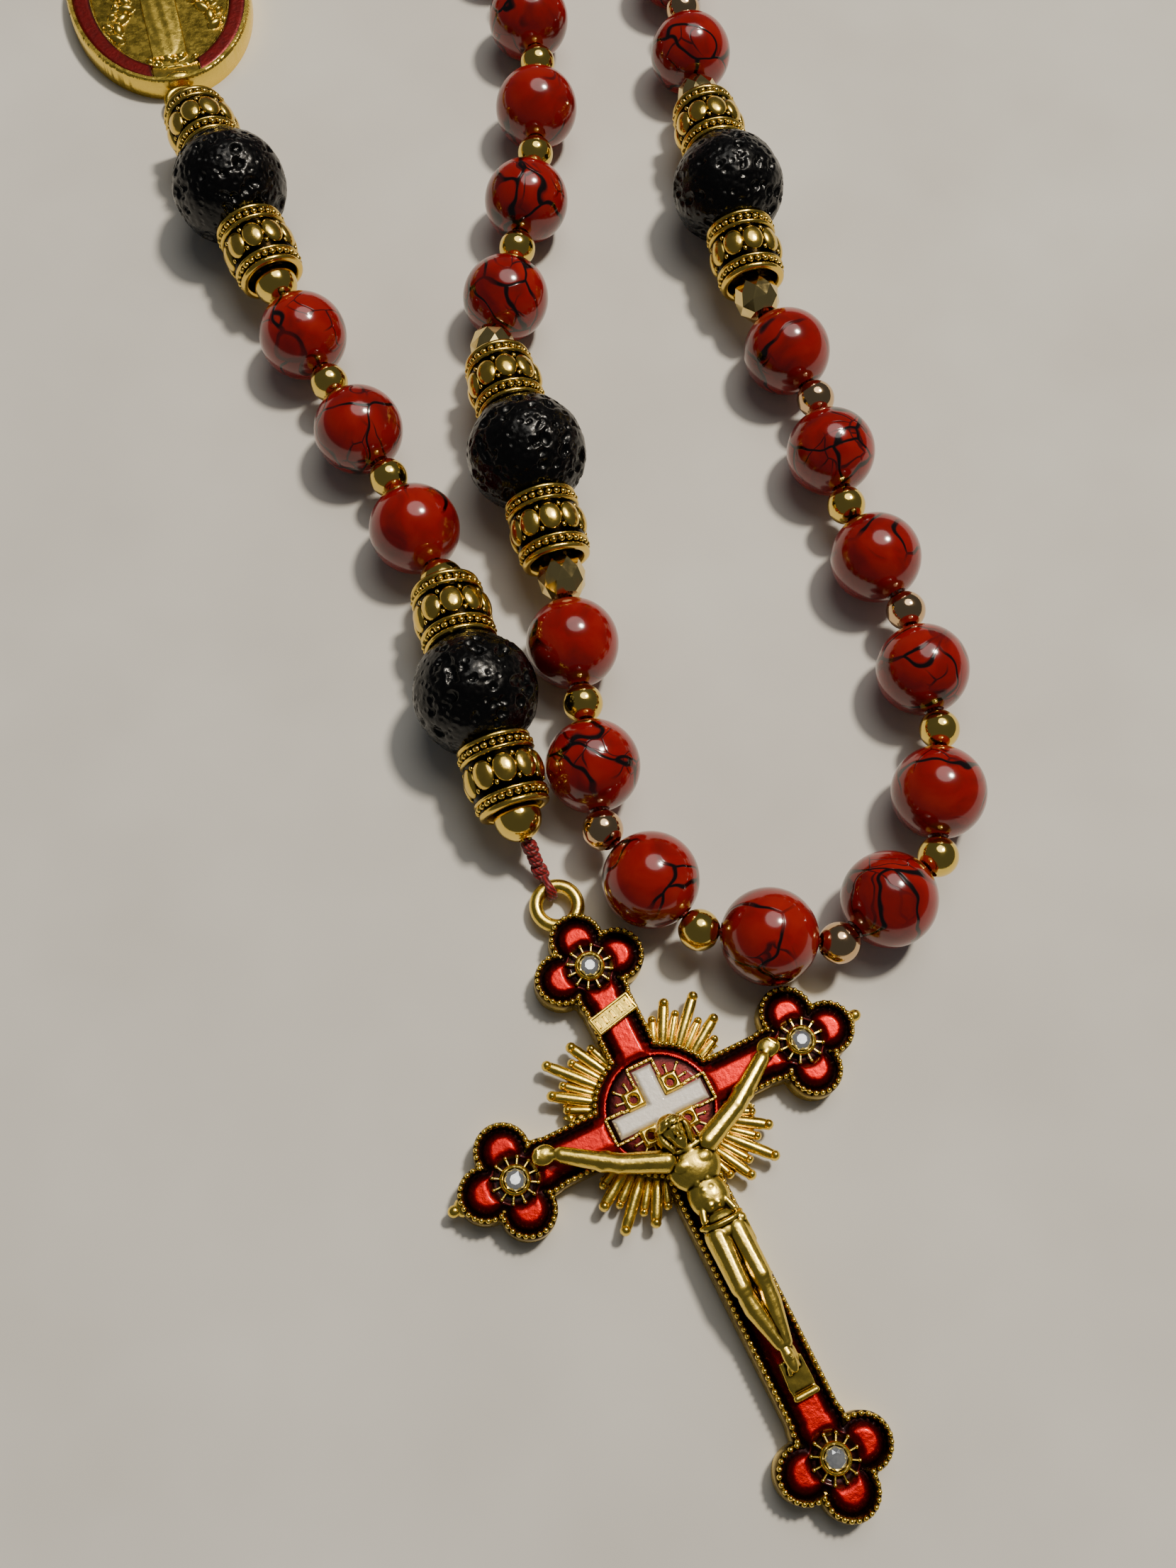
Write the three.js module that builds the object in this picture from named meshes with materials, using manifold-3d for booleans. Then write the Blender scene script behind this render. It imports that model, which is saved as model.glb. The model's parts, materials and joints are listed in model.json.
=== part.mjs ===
// A five-decade rosary, laid out on a table.
// Millimetres, +Z up, resting on z = 0. The crucifix points along -Y and the loop runs up +Y.
// A loop of five decades of red stone beads, with lava beads between them, hangs from a medal.
// A short pendant strand joins the medal to the crucifix.
import * as THREE from 'three';
import { mergeVertices } from 'three/addons/utils/BufferGeometryUtils.js';
import Module from 'manifold-3d';

const wasm = await Module();
wasm.setup();

// Beads and spacers
const redRadius = 4;
const redBoreRadius = 0.75;
const lavaRadius = 5.4;
const lavaBoreRadius = 1;
const spacerRadius = 1.6;
const endSpacerRadius = 1.85;
const facetedLength = 4;
const facetedBoreRadius = 0.85;
const facetedRadius = 2.15;
const capLength = 6.2;
const capRadius = 3.5;
const capBoreRadius = 0.75;
const stringRadius = 0.4;
const knotRadius = 0.7;

// Spacing along the string, centre to centre
const spacerPitch = 11.4;
const redToFaceted = 6.2;
const lavaToFaceted = 12.1;
const lavaToCap = 7.7;
const lavaToEndSpacer = 11.3;
const endSpacerToRed = 6;
const lavaToThread = 11.2;
const bodyGap = 0.3;

// Thread tied round the wire of a ring: space inside the turn, and radius of the thread
const tieSlack = 0.15;
const tieRadius = 0.2;
const crossTieSlack = 0.14;
const crossTieRadius = 0.22;

// Heights of the string above the table
const redHeight = redRadius;
const lavaHeight = lavaRadius;
const facetedHeight = 4.45;
const threadExitHeight = 4.4;

// Medal: an oval with a ring below and two ears above
const medalCentre = new THREE.Vector2(-44.1, 85.2);
const medalTurn = THREE.MathUtils.degToRad(15);
const medalHalfWidth = 9.2;
const medalHalfHeight = 12.2;
const medalThickness = 2.4;
const medalRimWidth = 0.5;
const medalBandWidth = 1.7;
const medalBandOpening = 4.8;
const medalBandFloor = 1.6;
const medalBandTop = 2.3;
const medalRingCentre = new THREE.Vector3(0, -13.7, 1.2);
const medalEarCentre = new THREE.Vector3(6.2, 11.3, 1.2);
const smallRingRadius = 1.5;
const smallRingWire = 0.4;

// Crucifix: the origin of its own frame is the crossing of the arms
const crossCentre = new THREE.Vector2(5.6, -28.1);
const crossTurn = THREE.MathUtils.degToRad(26.1);
const armHalfWidth = 2.1;
const stoneAtTop = 12.7;
const stoneAtSide = 12.6;
const stoneAtFoot = -28.2;
const lobeOffset = 2.45;
const lobeRadius = 2.25;
const lobeMiddleRadius = 2.75;
const discRadius = 5.4;
const crossThickness = 2.6;
const rimWidth = 0.45;
const enamelFloor = 1.6;
const enamelTop = 2.4;
const medallionRadius = 4.3;
const medallionTop = 2.2;
const bezelRadius = 1.25;
const bezelTop = 2.75;
const bezelSeat = 2.05;
const seatRadius = 0.95;
const crystalRadius = 0.85;
const nubRadius = 0.6;
const nubReach = 17.7;
const whiteCrossWidth = 1.15;
const whiteCrossSpan = 7.8;
const whiteCrossHeight = 7.4;
const whiteCrossShift = -0.1;
const whiteCrossTop = 2.7;
const plaqueWidth = 3.8;
const plaqueHeight = 1.6;
const plaqueCentre = [-0.1, 8.3];
const plaqueTop = 3.2;
const plaqueTurn = THREE.MathUtils.degToRad(12);
const crossRingCentre = new THREE.Vector3(0, 18.7, 1.25);
const crossRingRadius = 1.72;
const crossRingWire = 0.58;
const pieceGap = 0.1;

// Route of the loop's string, from the medal's right ear to its left ear
const loopRoute = [
  [-41.2, 101], [-37, 114], [-32, 127], [-33, 141], [-38, 154], [-38.5, 167.5], [-32, 179.5],
  [-20.5, 185.5], [-9, 179.5], [-3.5, 167.5], [-5, 154], [-12, 141], [-17.5, 127], [-17.5, 113],
  [-12, 100], [-7.5, 88], [-5.3, 76.2], [-5.3, 64.8], [-6.9, 53], [-9, 41.4], [-2.6, 17.9],
  [-0.7, 6.3], [0.9, -5.3], [8.4, -13.8], [20.2, -14.9], [28.7, -7.6], [29.8, 3.9],
  [27.7, 15.3], [23.1, 25.5], [20.8, 37], [15.9, 47], [10.9, 71], [9.5, 83.6], [8.2, 95],
  [8, 107], [9, 119], [10.5, 132], [11.5, 145], [11, 159], [8, 174], [1, 186], [-9, 194],
  [-21, 197], [-33, 194], [-43, 186], [-50, 174], [-53, 160], [-53.5, 146], [-53, 132],
  [-53.5, 118], [-54, 107], [-53.4, 98],
];
const loopAnchor = [20.2, -14.9];

// Route of the pendant strand's string, from the medal's ring to the crucifix's ring
const pendantRoute = [
  [-40.4, 71.7], [-33.8, 57], [-28.8, 46.6], [-23.8, 37.2], [-18.1, 27.6], [-12.9, 17],
  [-9.7, 5.9], [-5.9, -5], [-2.7, -11.2],
];
const pendantAnchor = [-9.7, 5.9];

// Colours and surfaces
const redStone = new THREE.MeshStandardMaterial({ color: 0x9e1512, roughness: 0.18 });
const lavaStone = new THREE.MeshStandardMaterial({ color: 0x17120f, roughness: 0.7 });
const gold = new THREE.MeshStandardMaterial({ color: 0xc9a03c, roughness: 0.28, metalness: 1 });
const paleGold = new THREE.MeshStandardMaterial({ color: 0xb79c62, roughness: 0.22, metalness: 1 });
const oldGold = new THREE.MeshStandardMaterial({ color: 0x9a7a2e, roughness: 0.38, metalness: 1 });
const redThread = new THREE.MeshStandardMaterial({ color: 0x7c1017, roughness: 0.8 });
const redEnamel = new THREE.MeshStandardMaterial({ color: 0xb01310, roughness: 0.12 });
const whiteEnamel = new THREE.MeshStandardMaterial({ color: 0xdcd6cc, roughness: 0.2 });
const crystal = new THREE.MeshStandardMaterial({ color: 0xcdd3dc, roughness: 0.05 });

// Solids

function toSolid(geometry) {
  const bare = geometry.index ? geometry.toNonIndexed() : geometry.clone();
  bare.deleteAttribute('normal');
  bare.deleteAttribute('uv');
  const merged = mergeVertices(bare, 1e-4);
  const corners = merged.index.array;
  const kept = [];
  for (let i = 0; i < corners.length; i += 3) {
    const [a, b, c] = [corners[i], corners[i + 1], corners[i + 2]];
    if (a !== b && b !== c && c !== a) kept.push(a, b, c);
  }
  return new wasm.Manifold(new wasm.Mesh({
    numProp: 3,
    vertProperties: merged.attributes.position.array,
    triVerts: new Uint32Array(kept),
  }));
}

function toGeometry(solid) {
  const mesh = solid.getMesh();
  const geometry = new THREE.BufferGeometry();
  geometry.setAttribute('position', new THREE.BufferAttribute(mesh.vertProperties, 3));
  geometry.setIndex(new THREE.BufferAttribute(mesh.triVerts, 1));
  return geometry;
}

function joined(geometries) {
  return toGeometry(geometries.map(toSolid).reduce((sum, solid) => sum.add(solid)));
}

function cutFrom(geometry, cutters) {
  const whole = toSolid(geometry);
  return toGeometry(cutters.map(toSolid).reduce((rest, cutter) => rest.subtract(cutter), whole));
}

// Turns a profile of [radius, height] points round +Z.
function turned(profile, segments) {
  const points = profile.map(([radius, height]) => new THREE.Vector2(radius, height));
  return new THREE.LatheGeometry(points, segments).rotateX(Math.PI / 2);
}

function ball(centre, radius, around = 8, rings = 6) {
  return new THREE.SphereGeometry(radius, around, rings).rotateX(Math.PI / 2).translate(...centre);
}

function turnTo(direction) {
  return new THREE.Quaternion().setFromUnitVectors(new THREE.Vector3(0, 0, 1), direction);
}

// A straight rod between two points.
function rod(from, to, radius, sides = 6) {
  const along = to.clone().sub(from);
  const geometry = new THREE.CylinderGeometry(radius, radius, along.length(), sides);
  geometry.rotateX(Math.PI / 2);
  geometry.applyQuaternion(turnTo(along.clone().normalize()));
  const middle = from.clone().add(to).multiplyScalar(0.5);
  return geometry.translate(...middle);
}

// A bead with its poles along the string.
function beadOnString(centre, direction, radius, around, rings) {
  const geometry = new THREE.SphereGeometry(radius, around, rings).rotateX(Math.PI / 2);
  return geometry.applyQuaternion(turnTo(direction)).translate(...centre);
}

// A rod through points, one after the other. Its corners are rounded, but not inside a spacer.
function bentRod(points, radius, spacers = [], sides = 6) {
  const pieces = [];
  for (let i = 0; i + 1 < points.length; i += 1) {
    pieces.push(rod(points[i], points[i + 1], radius, sides));
    const covered = spacers.some((place) => place === points[i]);
    if (i > 0 && !covered) pieces.push(ball(points[i], radius * 1.05, 6, 3));
  }
  return pieces;
}

function slab(shape, bottom, top, curveSegments = 6) {
  const settings = { depth: top - bottom, bevelEnabled: false, curveSegments };
  return new THREE.ExtrudeGeometry(shape, settings).translate(0, 0, bottom);
}

function disc(radius, bottom, top, segments = 20) {
  const geometry = new THREE.CylinderGeometry(radius, radius, top - bottom, segments);
  return geometry.rotateX(Math.PI / 2).translate(0, 0, (bottom + top) / 2);
}

function block(width, depth, bottom, top) {
  return new THREE.BoxGeometry(width, depth, top - bottom).translate(0, 0, (bottom + top) / 2);
}

// The string's path

function asVector([x, y], z = 0) {
  return new THREE.Vector3(x, y, z);
}

function finePath(route) {
  const places = route.map((point) => asVector(point));
  const curve = new THREE.CatmullRomCurve3(places, false, 'centripetal');
  return curve.getPoints(route.length * 120);
}

function nearestIndex(path, point) {
  const distances = path.map((place) => place.distanceTo(asVector(point)));
  return distances.indexOf(Math.min(...distances));
}

// Walks along the path from an index, and returns the places at the given straight steps.
function walk(path, start, steps, way) {
  const places = [];
  let from = path[start];
  let index = start;
  for (const step of steps) {
    while (path[index + way] && path[index].distanceTo(from) < step) index += way;
    from = path[index];
    places.push(from.clone());
  }
  return places;
}

function raised(place, height) {
  return new THREE.Vector3(place.x, place.y, height);
}

function between(a, b, distance) {
  return a.clone().add(b.clone().sub(a).setLength(distance));
}

// A red bead rests on the table between two neighbours on the string.
function redPlace(from, to, distance) {
  return {
    centre: raised(between(from, to, distance), redHeight),
    direction: to.clone().sub(from).normalize(),
  };
}

// One side of the loop from its lowest spacers: links of one red bead, then a lava section, and so on.
function loopSide(path, start, way, lowLinks, highLinks) {
  const endLink = spacerPitch / 2 + redToFaceted;
  const section = 2 * lavaToFaceted;
  const steps = [
    ...Array(lowLinks).fill(spacerPitch), endLink, section, endLink,
    ...Array(highLinks).fill(spacerPitch), endLink, section, endLink,
    ...Array(highLinks).fill(spacerPitch),
  ];
  const flat = walk(path, start, steps, way);
  const nearFaceted = lowLinks;
  const farFaceted = lowLinks + 3 + highLinks;
  const facetedPlaces = [nearFaceted, nearFaceted + 1, farFaceted, farFaceted + 1];
  return flat.map((place, i) => (
    raised(place, facetedPlaces.includes(i) ? facetedHeight : redHeight)
  ));
}

const loopPath = finePath(loopRoute);
const loopStart = nearestIndex(loopPath, loopAnchor);
const anchorSpacer = raised(loopPath[loopStart], redHeight);
const leftSide = [anchorSpacer, ...loopSide(loopPath, loopStart, -1, 3, 8)];
const rightSide = [anchorSpacer, ...loopSide(loopPath, loopStart, 1, 5, 8)];
const leftLowLinks = 3;
const rightLowLinks = 5;

function lavaBetween(first, second) {
  return raised(first.clone().add(second).multiplyScalar(0.5), lavaHeight);
}

const pendantPath = finePath(pendantRoute);
const pendantStart = nearestIndex(pendantPath, pendantAnchor);
const lowerLava = raised(pendantPath[pendantStart], lavaHeight);
const upward = walk(pendantPath, pendantStart, [
  lavaToEndSpacer, endSpacerToRed + spacerPitch / 2, spacerPitch,
  endSpacerToRed + spacerPitch / 2, lavaToEndSpacer, lavaToThread,
], -1);
const [lowerEndSpacer, lowerSpacer, upperSpacer, upperEndSpacer] = [
  raised(upward[0], threadExitHeight), raised(upward[1], redHeight),
  raised(upward[2], redHeight), raised(upward[3], threadExitHeight),
];
const upperLava = raised(upward[4], lavaHeight);
const upperThreadExit = raised(upward[5], threadExitHeight);
const [lastSpacerFlat] = walk(pendantPath, pendantStart, [lavaToEndSpacer], 1);
const lastSpacer = raised(lastSpacerFlat, threadExitHeight);

// Beads, caps and spacers

function boredBall(radius, boreRadius, segments, rings) {
  const poleAngle = Math.acos(boreRadius / radius);
  const profile = [];
  for (let i = 0; i <= rings; i += 1) {
    const angle = THREE.MathUtils.lerp(-poleAngle, poleAngle, i / rings);
    profile.push([radius * Math.cos(angle), radius * Math.sin(angle)]);
  }
  return turned([...profile, profile[0]], segments);
}

function facetedSpacer() {
  const half = facetedLength / 2;
  const bore = facetedBoreRadius;
  const [endRadius, waistHalf] = [1.6, 0.7];
  return turned([
    [bore, -half], [endRadius, -half], [facetedRadius, -waistHalf],
    [facetedRadius, waistHalf], [endRadius, half], [bore, half], [bore, -half],
  ], 8);
}

// A barrel-shaped cap: -Z sits over the lava bead, and +Z holds the next spacer.
function beadCap() {
  const half = capLength / 2;
  const bore = capBoreRadius;
  return turned([
    [bore, -1.95], [3.05, -half], [3.3, -half], [capRadius, -2], [capRadius, 2],
    [3.1, half], [2.4, half], [2.3, 1.5], [bore, 1.5], [bore, -1.95],
  ], 10);
}

const redGeometry = boredBall(redRadius, redBoreRadius, 10, 6);
const lavaGeometry = boredBall(lavaRadius, lavaBoreRadius, 10, 7);
const facetedGeometry = facetedSpacer();
const capGeometry = beadCap();

const rosary = new THREE.Group();

function addPiece(name, geometry, material, parent = rosary) {
  const piece = new THREE.Mesh(geometry, material);
  piece.name = name;
  parent.add(piece);
  return piece;
}

function addOnString(name, geometry, material, centre, direction) {
  const piece = addPiece(name, geometry, material);
  piece.position.copy(centre);
  piece.quaternion.copy(turnTo(direction));
}

function addRed(name, { centre, direction }) {
  addOnString(name, redGeometry, redStone, centre, direction);
}

function addCap(name, lava, next) {
  const direction = next.clone().sub(lava).normalize();
  addOnString(name, capGeometry, oldGold, between(lava, next, lavaToCap), direction);
}

function addLava(name, lava, before, after) {
  addOnString(name, lavaGeometry, lavaStone, lava, after.clone().sub(before).normalize());
}

// The last part of a string piece stops short of a spacer that belongs to the next body.
function shortOf(spacer, from, radius = spacerRadius) {
  return between(spacer, from, radius + bodyGap);
}

// A length of string with spacers fixed on it at some of its points.
function addString(name, points, spacers) {
  const balls = spacers.map(([centre, radius]) => ball(centre, radius, 7, 4));
  const rods = bentRod(points, stringRadius, spacers.map(([centre]) => centre));
  addPiece(name, joined([...rods, ...balls]), gold);
}

// A turn of thread round the wire of a ring: its plane holds the strand's direction and +Z.
function threadLoop(centre, direction, innerRadius, radius) {
  const geometry = new THREE.TorusGeometry(innerRadius + radius, radius, 5, 10);
  geometry.rotateX(Math.PI / 2);
  geometry.rotateZ(Math.atan2(direction.y, direction.x));
  return geometry.translate(...centre);
}

// The loop

// A faceted spacer sits at a bend of the string, halfway between the directions of its two parts.
function addFaceted(number, place, before, after) {
  const arriving = place.clone().sub(before).normalize();
  const leaving = after.clone().sub(place).normalize();
  const direction = arriving.add(leaving).normalize();
  addOnString(`faceted_spacer_${number}`, facetedGeometry, paleGold, place, direction);
}

function addLoopSection(side, nearIndex, name, first) {
  const [near, far] = [side[nearIndex], side[nearIndex + 1]];
  const lava = lavaBetween(near, far);
  addLava(`loop_lava_${name}`, lava, near, far);
  addCap(`loop_cap_${first}`, lava, near);
  addCap(`loop_cap_${first + 1}`, lava, far);
  addFaceted(first, near, side[nearIndex - 1], lava);
  addFaceted(first + 1, far, lava, side[nearIndex + 2]);
  return lava;
}

const leftNear = leftLowLinks + 1;
const rightNear = rightLowLinks + 1;
const leftLava = addLoopSection(leftSide, leftNear, 'left', 1);
const rightLava = addLoopSection(rightSide, rightNear, 'right', 3);

// The middle decade: ten red beads round the bottom of the loop, numbered from the left.
function addMiddleDecade() {
  const places = [redPlace(leftSide[leftNear], leftSide[leftNear - 1], redToFaceted)];
  for (let i = leftLowLinks; i > 0; i -= 1) {
    places.push(redPlace(leftSide[i], leftSide[i - 1], spacerPitch / 2));
  }
  for (let i = 0; i < rightLowLinks; i += 1) {
    places.push(redPlace(rightSide[i], rightSide[i + 1], spacerPitch / 2));
  }
  places.push(redPlace(rightSide[rightNear - 1], rightSide[rightNear], spacerPitch / 2));
  places.forEach((place, i) => addRed(`decade_bead_${i + 1}`, place));
}
addMiddleDecade();

// Red beads above the lava beads, where the two legs of the loop still lie side by side.
function addLegBeads(name, side, near, count) {
  addRed(`${name}_leg_bead_1`, redPlace(side[near + 1], side[near + 2], redToFaceted));
  for (let i = 2; i <= count; i += 1) {
    addRed(`${name}_leg_bead_${i}`, redPlace(side[near + i], side[near + i + 1], spacerPitch / 2));
  }
}
addLegBeads('left', leftSide, leftNear, 4);
addLegBeads('right', rightSide, rightNear, 2);

// String of the bottom of the loop, between the spacers at the lower fold.
const foldIndex = 3;
const leftFold = leftSide[foldIndex];
const rightFold = rightSide[foldIndex];
function addLowerString() {
  const inner = [leftSide[2], leftSide[1], anchorSpacer, rightSide[1], rightSide[2]];
  const points = [shortOf(leftFold, inner[0]), ...inner, shortOf(rightFold, inner[4])];
  addString('string_loop_bottom', points, inner.map((place) => [place, spacerRadius]));
}
addLowerString();

// String of one leg, from its lower fold spacer to just short of its upper fold spacer.
const leftUpperFold = leftSide[leftNear + 4];
const rightUpperFold = rightSide[rightNear + 2];
function addLegString(name, side, near, lava, upperIndex) {
  const points = [side[foldIndex]];
  const spacers = [[side[foldIndex], spacerRadius]];
  for (let i = foldIndex + 1; i < upperIndex; i += 1) {
    points.push(side[i]);
    if (i === near) points.push(lava);
    else if (i !== near + 1) spacers.push([side[i], spacerRadius]);
  }
  points.push(shortOf(side[upperIndex], side[upperIndex - 1]));
  addString(name, points, spacers);
}
addLegString('string_left_leg', leftSide, leftNear, leftLava, leftNear + 4);
addLegString('string_right_leg', rightSide, rightNear, rightLava, rightNear + 2);

// The far part of the loop: whole lengths of strand as one piece each

const farRed = [redRadius, 7, 4];
const farSpacer = [spacerRadius, 5, 3];

function farRedBead(from, to, distance) {
  const { centre, direction } = redPlace(from, to, distance);
  return beadOnString(centre, direction, ...farRed);
}

function farSpacerBead(place, towards) {
  return beadOnString(place, towards.clone().sub(place).normalize(), ...farSpacer);
}

// Threaded through one leg bead, then a run of red beads and spacers up to a faceted spacer.
function addDecadeRest(name, side, first, facetedIndex) {
  const lastRed = redPlace(side[facetedIndex - 1], side[facetedIndex], spacerPitch / 2).centre;
  const pieces = [
    ...bentRod([...side.slice(first, facetedIndex), lastRed], stringRadius, side, 4),
    ball(side[first], spacerRadius, 8, 5),
    farSpacerBead(side[first + 1], side[first + 2]),
  ];
  for (let i = first + 1; i < facetedIndex; i += 1) {
    pieces.push(farRedBead(side[i], side[i + 1], spacerPitch / 2));
    if (i + 1 < facetedIndex) pieces.push(farSpacerBead(side[i + 1], side[i + 2] ?? side[i]));
  }
  addPiece(name, joined(pieces), redStone);
}

// A faceted spacer, cap, lava bead, cap and faceted spacer, each let a little into the next.
const farOverlap = 0.5;
function addFarSection(name, near, far) {
  const lava = lavaBetween(near, far);
  const pieces = [beadOnString(lava, far.clone().sub(near).normalize(), lavaRadius, 10, 7)];
  for (const end of [near, far]) {
    const capStart = between(lava, end, lavaToCap - capLength / 2 - farOverlap);
    const capEnd = between(lava, end, lavaToCap + capLength / 2);
    const spacerStart = between(lava, end, lavaToCap + capLength / 2 - farOverlap);
    const spacerEnd = between(lava, end, lavaToFaceted + facetedLength / 2 - farOverlap);
    pieces.push(rod(capStart, capEnd, capRadius, 10));
    pieces.push(rod(spacerStart, spacerEnd, facetedRadius, 8));
  }
  addPiece(name, joined(pieces), oldGold);
}

// The last decade before an ear of the medal, with the thread that ties it there.
function addEndDecade(name, side, facetedIndex, ear, earDirection) {
  const firstRed = redPlace(side[facetedIndex], side[facetedIndex + 1], redToFaceted).centre;
  const pieces = [farRedBead(side[facetedIndex], side[facetedIndex + 1], redToFaceted)];
  const lastIndex = side.length - 1;
  for (let i = facetedIndex + 1; i <= lastIndex; i += 1) {
    const towards = side[i + 1] ?? ear;
    pieces.push(farSpacerBead(side[i], towards));
    pieces.push(farRedBead(side[i], towards, spacerPitch / 2));
  }
  const knot = ear.clone().addScaledVector(earDirection, smallRingWire + tieSlack + tieRadius);
  pieces.push(...bentRod([firstRed, ...side.slice(facetedIndex + 1), knot], stringRadius, side, 4));
  pieces.push(threadLoop(ear, earDirection, smallRingWire + tieSlack, tieRadius));
  addPiece(name, joined(pieces), redStone);
}

function medalPoint(local, z = local.z) {
  const flat = new THREE.Vector2(local.x, local.y).rotateAround(new THREE.Vector2(), medalTurn);
  return new THREE.Vector3(flat.x + medalCentre.x, flat.y + medalCentre.y, z);
}

const earBarOffset = new THREE.Vector3(0, smallRingRadius, 0);
const rightEar = medalPoint(medalEarCentre.clone().add(earBarOffset));
const leftEar = medalPoint(medalEarCentre.clone().multiply(new THREE.Vector3(-1, 1, 1)).add(earBarOffset));
const earDirection = new THREE.Vector3(-Math.sin(medalTurn), Math.cos(medalTurn), 0);
const leftFar = leftNear + 11;
const rightFar = rightNear + 11;
addDecadeRest('left_second_decade', leftSide, leftNear + 4, leftFar);
addDecadeRest('right_fourth_decade', rightSide, rightNear + 2, rightFar);
addFarSection('left_far_section', leftSide[leftFar], leftSide[leftFar + 1]);
addFarSection('right_far_section', rightSide[rightFar], rightSide[rightFar + 1]);
addEndDecade('first_decade', leftSide, leftFar + 1, rightEar, earDirection);
addEndDecade('fifth_decade', rightSide, rightFar + 1, leftEar, earDirection);

// The pendant strand

addLava('pendant_lava_upper', upperLava, upperThreadExit, upperEndSpacer);
addLava('pendant_lava_lower', lowerLava, lowerEndSpacer, lastSpacer);
addCap('pendant_cap_1', upperLava, upperThreadExit);
addCap('pendant_cap_2', upperLava, upperEndSpacer);
addCap('pendant_cap_3', lowerLava, lowerEndSpacer);
addCap('pendant_cap_4', lowerLava, lastSpacer);
addRed('pendant_bead_1', redPlace(upperEndSpacer, upperSpacer, endSpacerToRed));
addRed('pendant_bead_2', redPlace(upperSpacer, lowerSpacer, spacerPitch / 2));
addRed('pendant_bead_3', redPlace(lowerSpacer, lowerEndSpacer, spacerPitch / 2));

// Upper pendant thread: tied round the medal's ring, through two caps and a lava bead.
const medalRing = medalPoint(medalRingCentre);
const ringToStrand = raised(upperThreadExit, medalRing.z).sub(medalRing).normalize();
const medalTie = medalRing.clone().addScaledVector(ringToStrand, smallRingRadius);
function addUpperThread() {
  const start = medalTie.clone().addScaledVector(ringToStrand, smallRingWire + tieSlack + tieRadius);
  const points = [start, upperThreadExit, upperLava, upperEndSpacer];
  const pieces = [
    ...bentRod(points, stringRadius),
    threadLoop(medalTie, ringToStrand, smallRingWire + tieSlack, tieRadius),
    ball(upperEndSpacer, endSpacerRadius, 8, 5),
  ];
  addPiece('thread_upper', joined(pieces), redThread);
}
addUpperThread();

// The three short lengths between the pendant's spacers can each flex at a spacer.
function addPendantString(name, from, fromRadius, to, radius) {
  addString(name, [shortOf(from, to, fromRadius), to], [[to, radius]]);
}
addPendantString('string_pendant_1', upperEndSpacer, endSpacerRadius, upperSpacer, spacerRadius);
addPendantString('string_pendant_2', upperSpacer, spacerRadius, lowerSpacer, spacerRadius);
addPendantString('string_pendant_3', lowerSpacer, spacerRadius, lowerEndSpacer, endSpacerRadius);

function crossPoint(local) {
  const flat = new THREE.Vector2(local.x, local.y).rotateAround(new THREE.Vector2(), crossTurn);
  return new THREE.Vector3(flat.x + crossCentre.x, flat.y + crossCentre.y, local.z);
}

// Lower pendant thread: from the third red bead through caps and lava bead, knotted to the crucifix.
const crossUp = new THREE.Vector3(-Math.sin(crossTurn), Math.cos(crossTurn), 0);
const crossTie = crossPoint(crossRingCentre).addScaledVector(crossUp, crossRingRadius);
const crossTieInner = crossRingWire + crossTieSlack;
const knotPlaces = [0.45, 0.75];
function addLowerThread() {
  const start = shortOf(lowerEndSpacer, lowerLava, endSpacerRadius);
  const end = crossTie.clone().addScaledVector(crossUp, crossTieInner + crossTieRadius);
  const knots = knotPlaces.map((part) => lastSpacer.clone().lerp(end, part));
  const pieces = [
    ...bentRod([start, lowerLava, lastSpacer, end], stringRadius),
    ball(lastSpacer, endSpacerRadius, 8, 5),
    ...knots.map((knot) => ball(knot, knotRadius, 8, 5)),
    threadLoop(crossTie, crossUp, crossTieInner, crossTieRadius),
  ];
  addPiece('thread_lower', joined(pieces), redThread);
}
addLowerThread();

// The medal

function ellipseShape(inset) {
  const shape = new THREE.Shape();
  shape.absellipse(0, 0, medalHalfWidth - inset, medalHalfHeight - inset, 0, 2 * Math.PI);
  return shape;
}

function flatRing(centre, radius, wire) {
  return new THREE.TorusGeometry(radius, wire, 5, 10).translate(...centre);
}

// The enamel band is open at the foot of the oval, where the metal runs out to the ring.
function enamelBand(outerInset, innerInset, bottom, top, opening) {
  const ring = cutFrom(slab(ellipseShape(outerInset), bottom, top, 12), [
    slab(ellipseShape(innerInset), bottom - 1, top + 1, 12),
  ]);
  return cutFrom(ring, [block(opening, 8, bottom - 1, top + 1).translate(0, -medalHalfHeight, 0)]);
}

function medalBody() {
  const innerInset = medalRimWidth + medalBandWidth;
  const opening = medalBandOpening - 2 * pieceGap;
  const groove = enamelBand(medalRimWidth, innerInset, medalBandFloor, medalThickness + 1, opening);
  const plate = cutFrom(slab(ellipseShape(0), 0, medalThickness, 12), [groove]);
  const mirrored = medalEarCentre.clone().multiply(new THREE.Vector3(-1, 1, 1));
  return joined([
    plate,
    flatRing(medalRingCentre, smallRingRadius, smallRingWire),
    flatRing(medalEarCentre, smallRingRadius, smallRingWire),
    flatRing(mirrored, smallRingRadius, smallRingWire),
  ]);
}

function addMedal() {
  const medal = new THREE.Group();
  medal.position.set(medalCentre.x, medalCentre.y, 0);
  medal.rotation.z = medalTurn;
  rosary.add(medal);
  const outer = medalRimWidth + pieceGap;
  const inner = medalRimWidth + medalBandWidth - pieceGap;
  addPiece('medal_body', medalBody(), gold, medal);
  const band = enamelBand(outer, inner, medalBandFloor + pieceGap, medalBandTop, medalBandOpening);
  addPiece('medal_enamel_band', band, redEnamel, medal);
}
addMedal();

// The crucifix

const stones = {
  top: [0, stoneAtTop], left: [-stoneAtSide, 0], right: [stoneAtSide, 0], foot: [0, stoneAtFoot],
};

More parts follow.
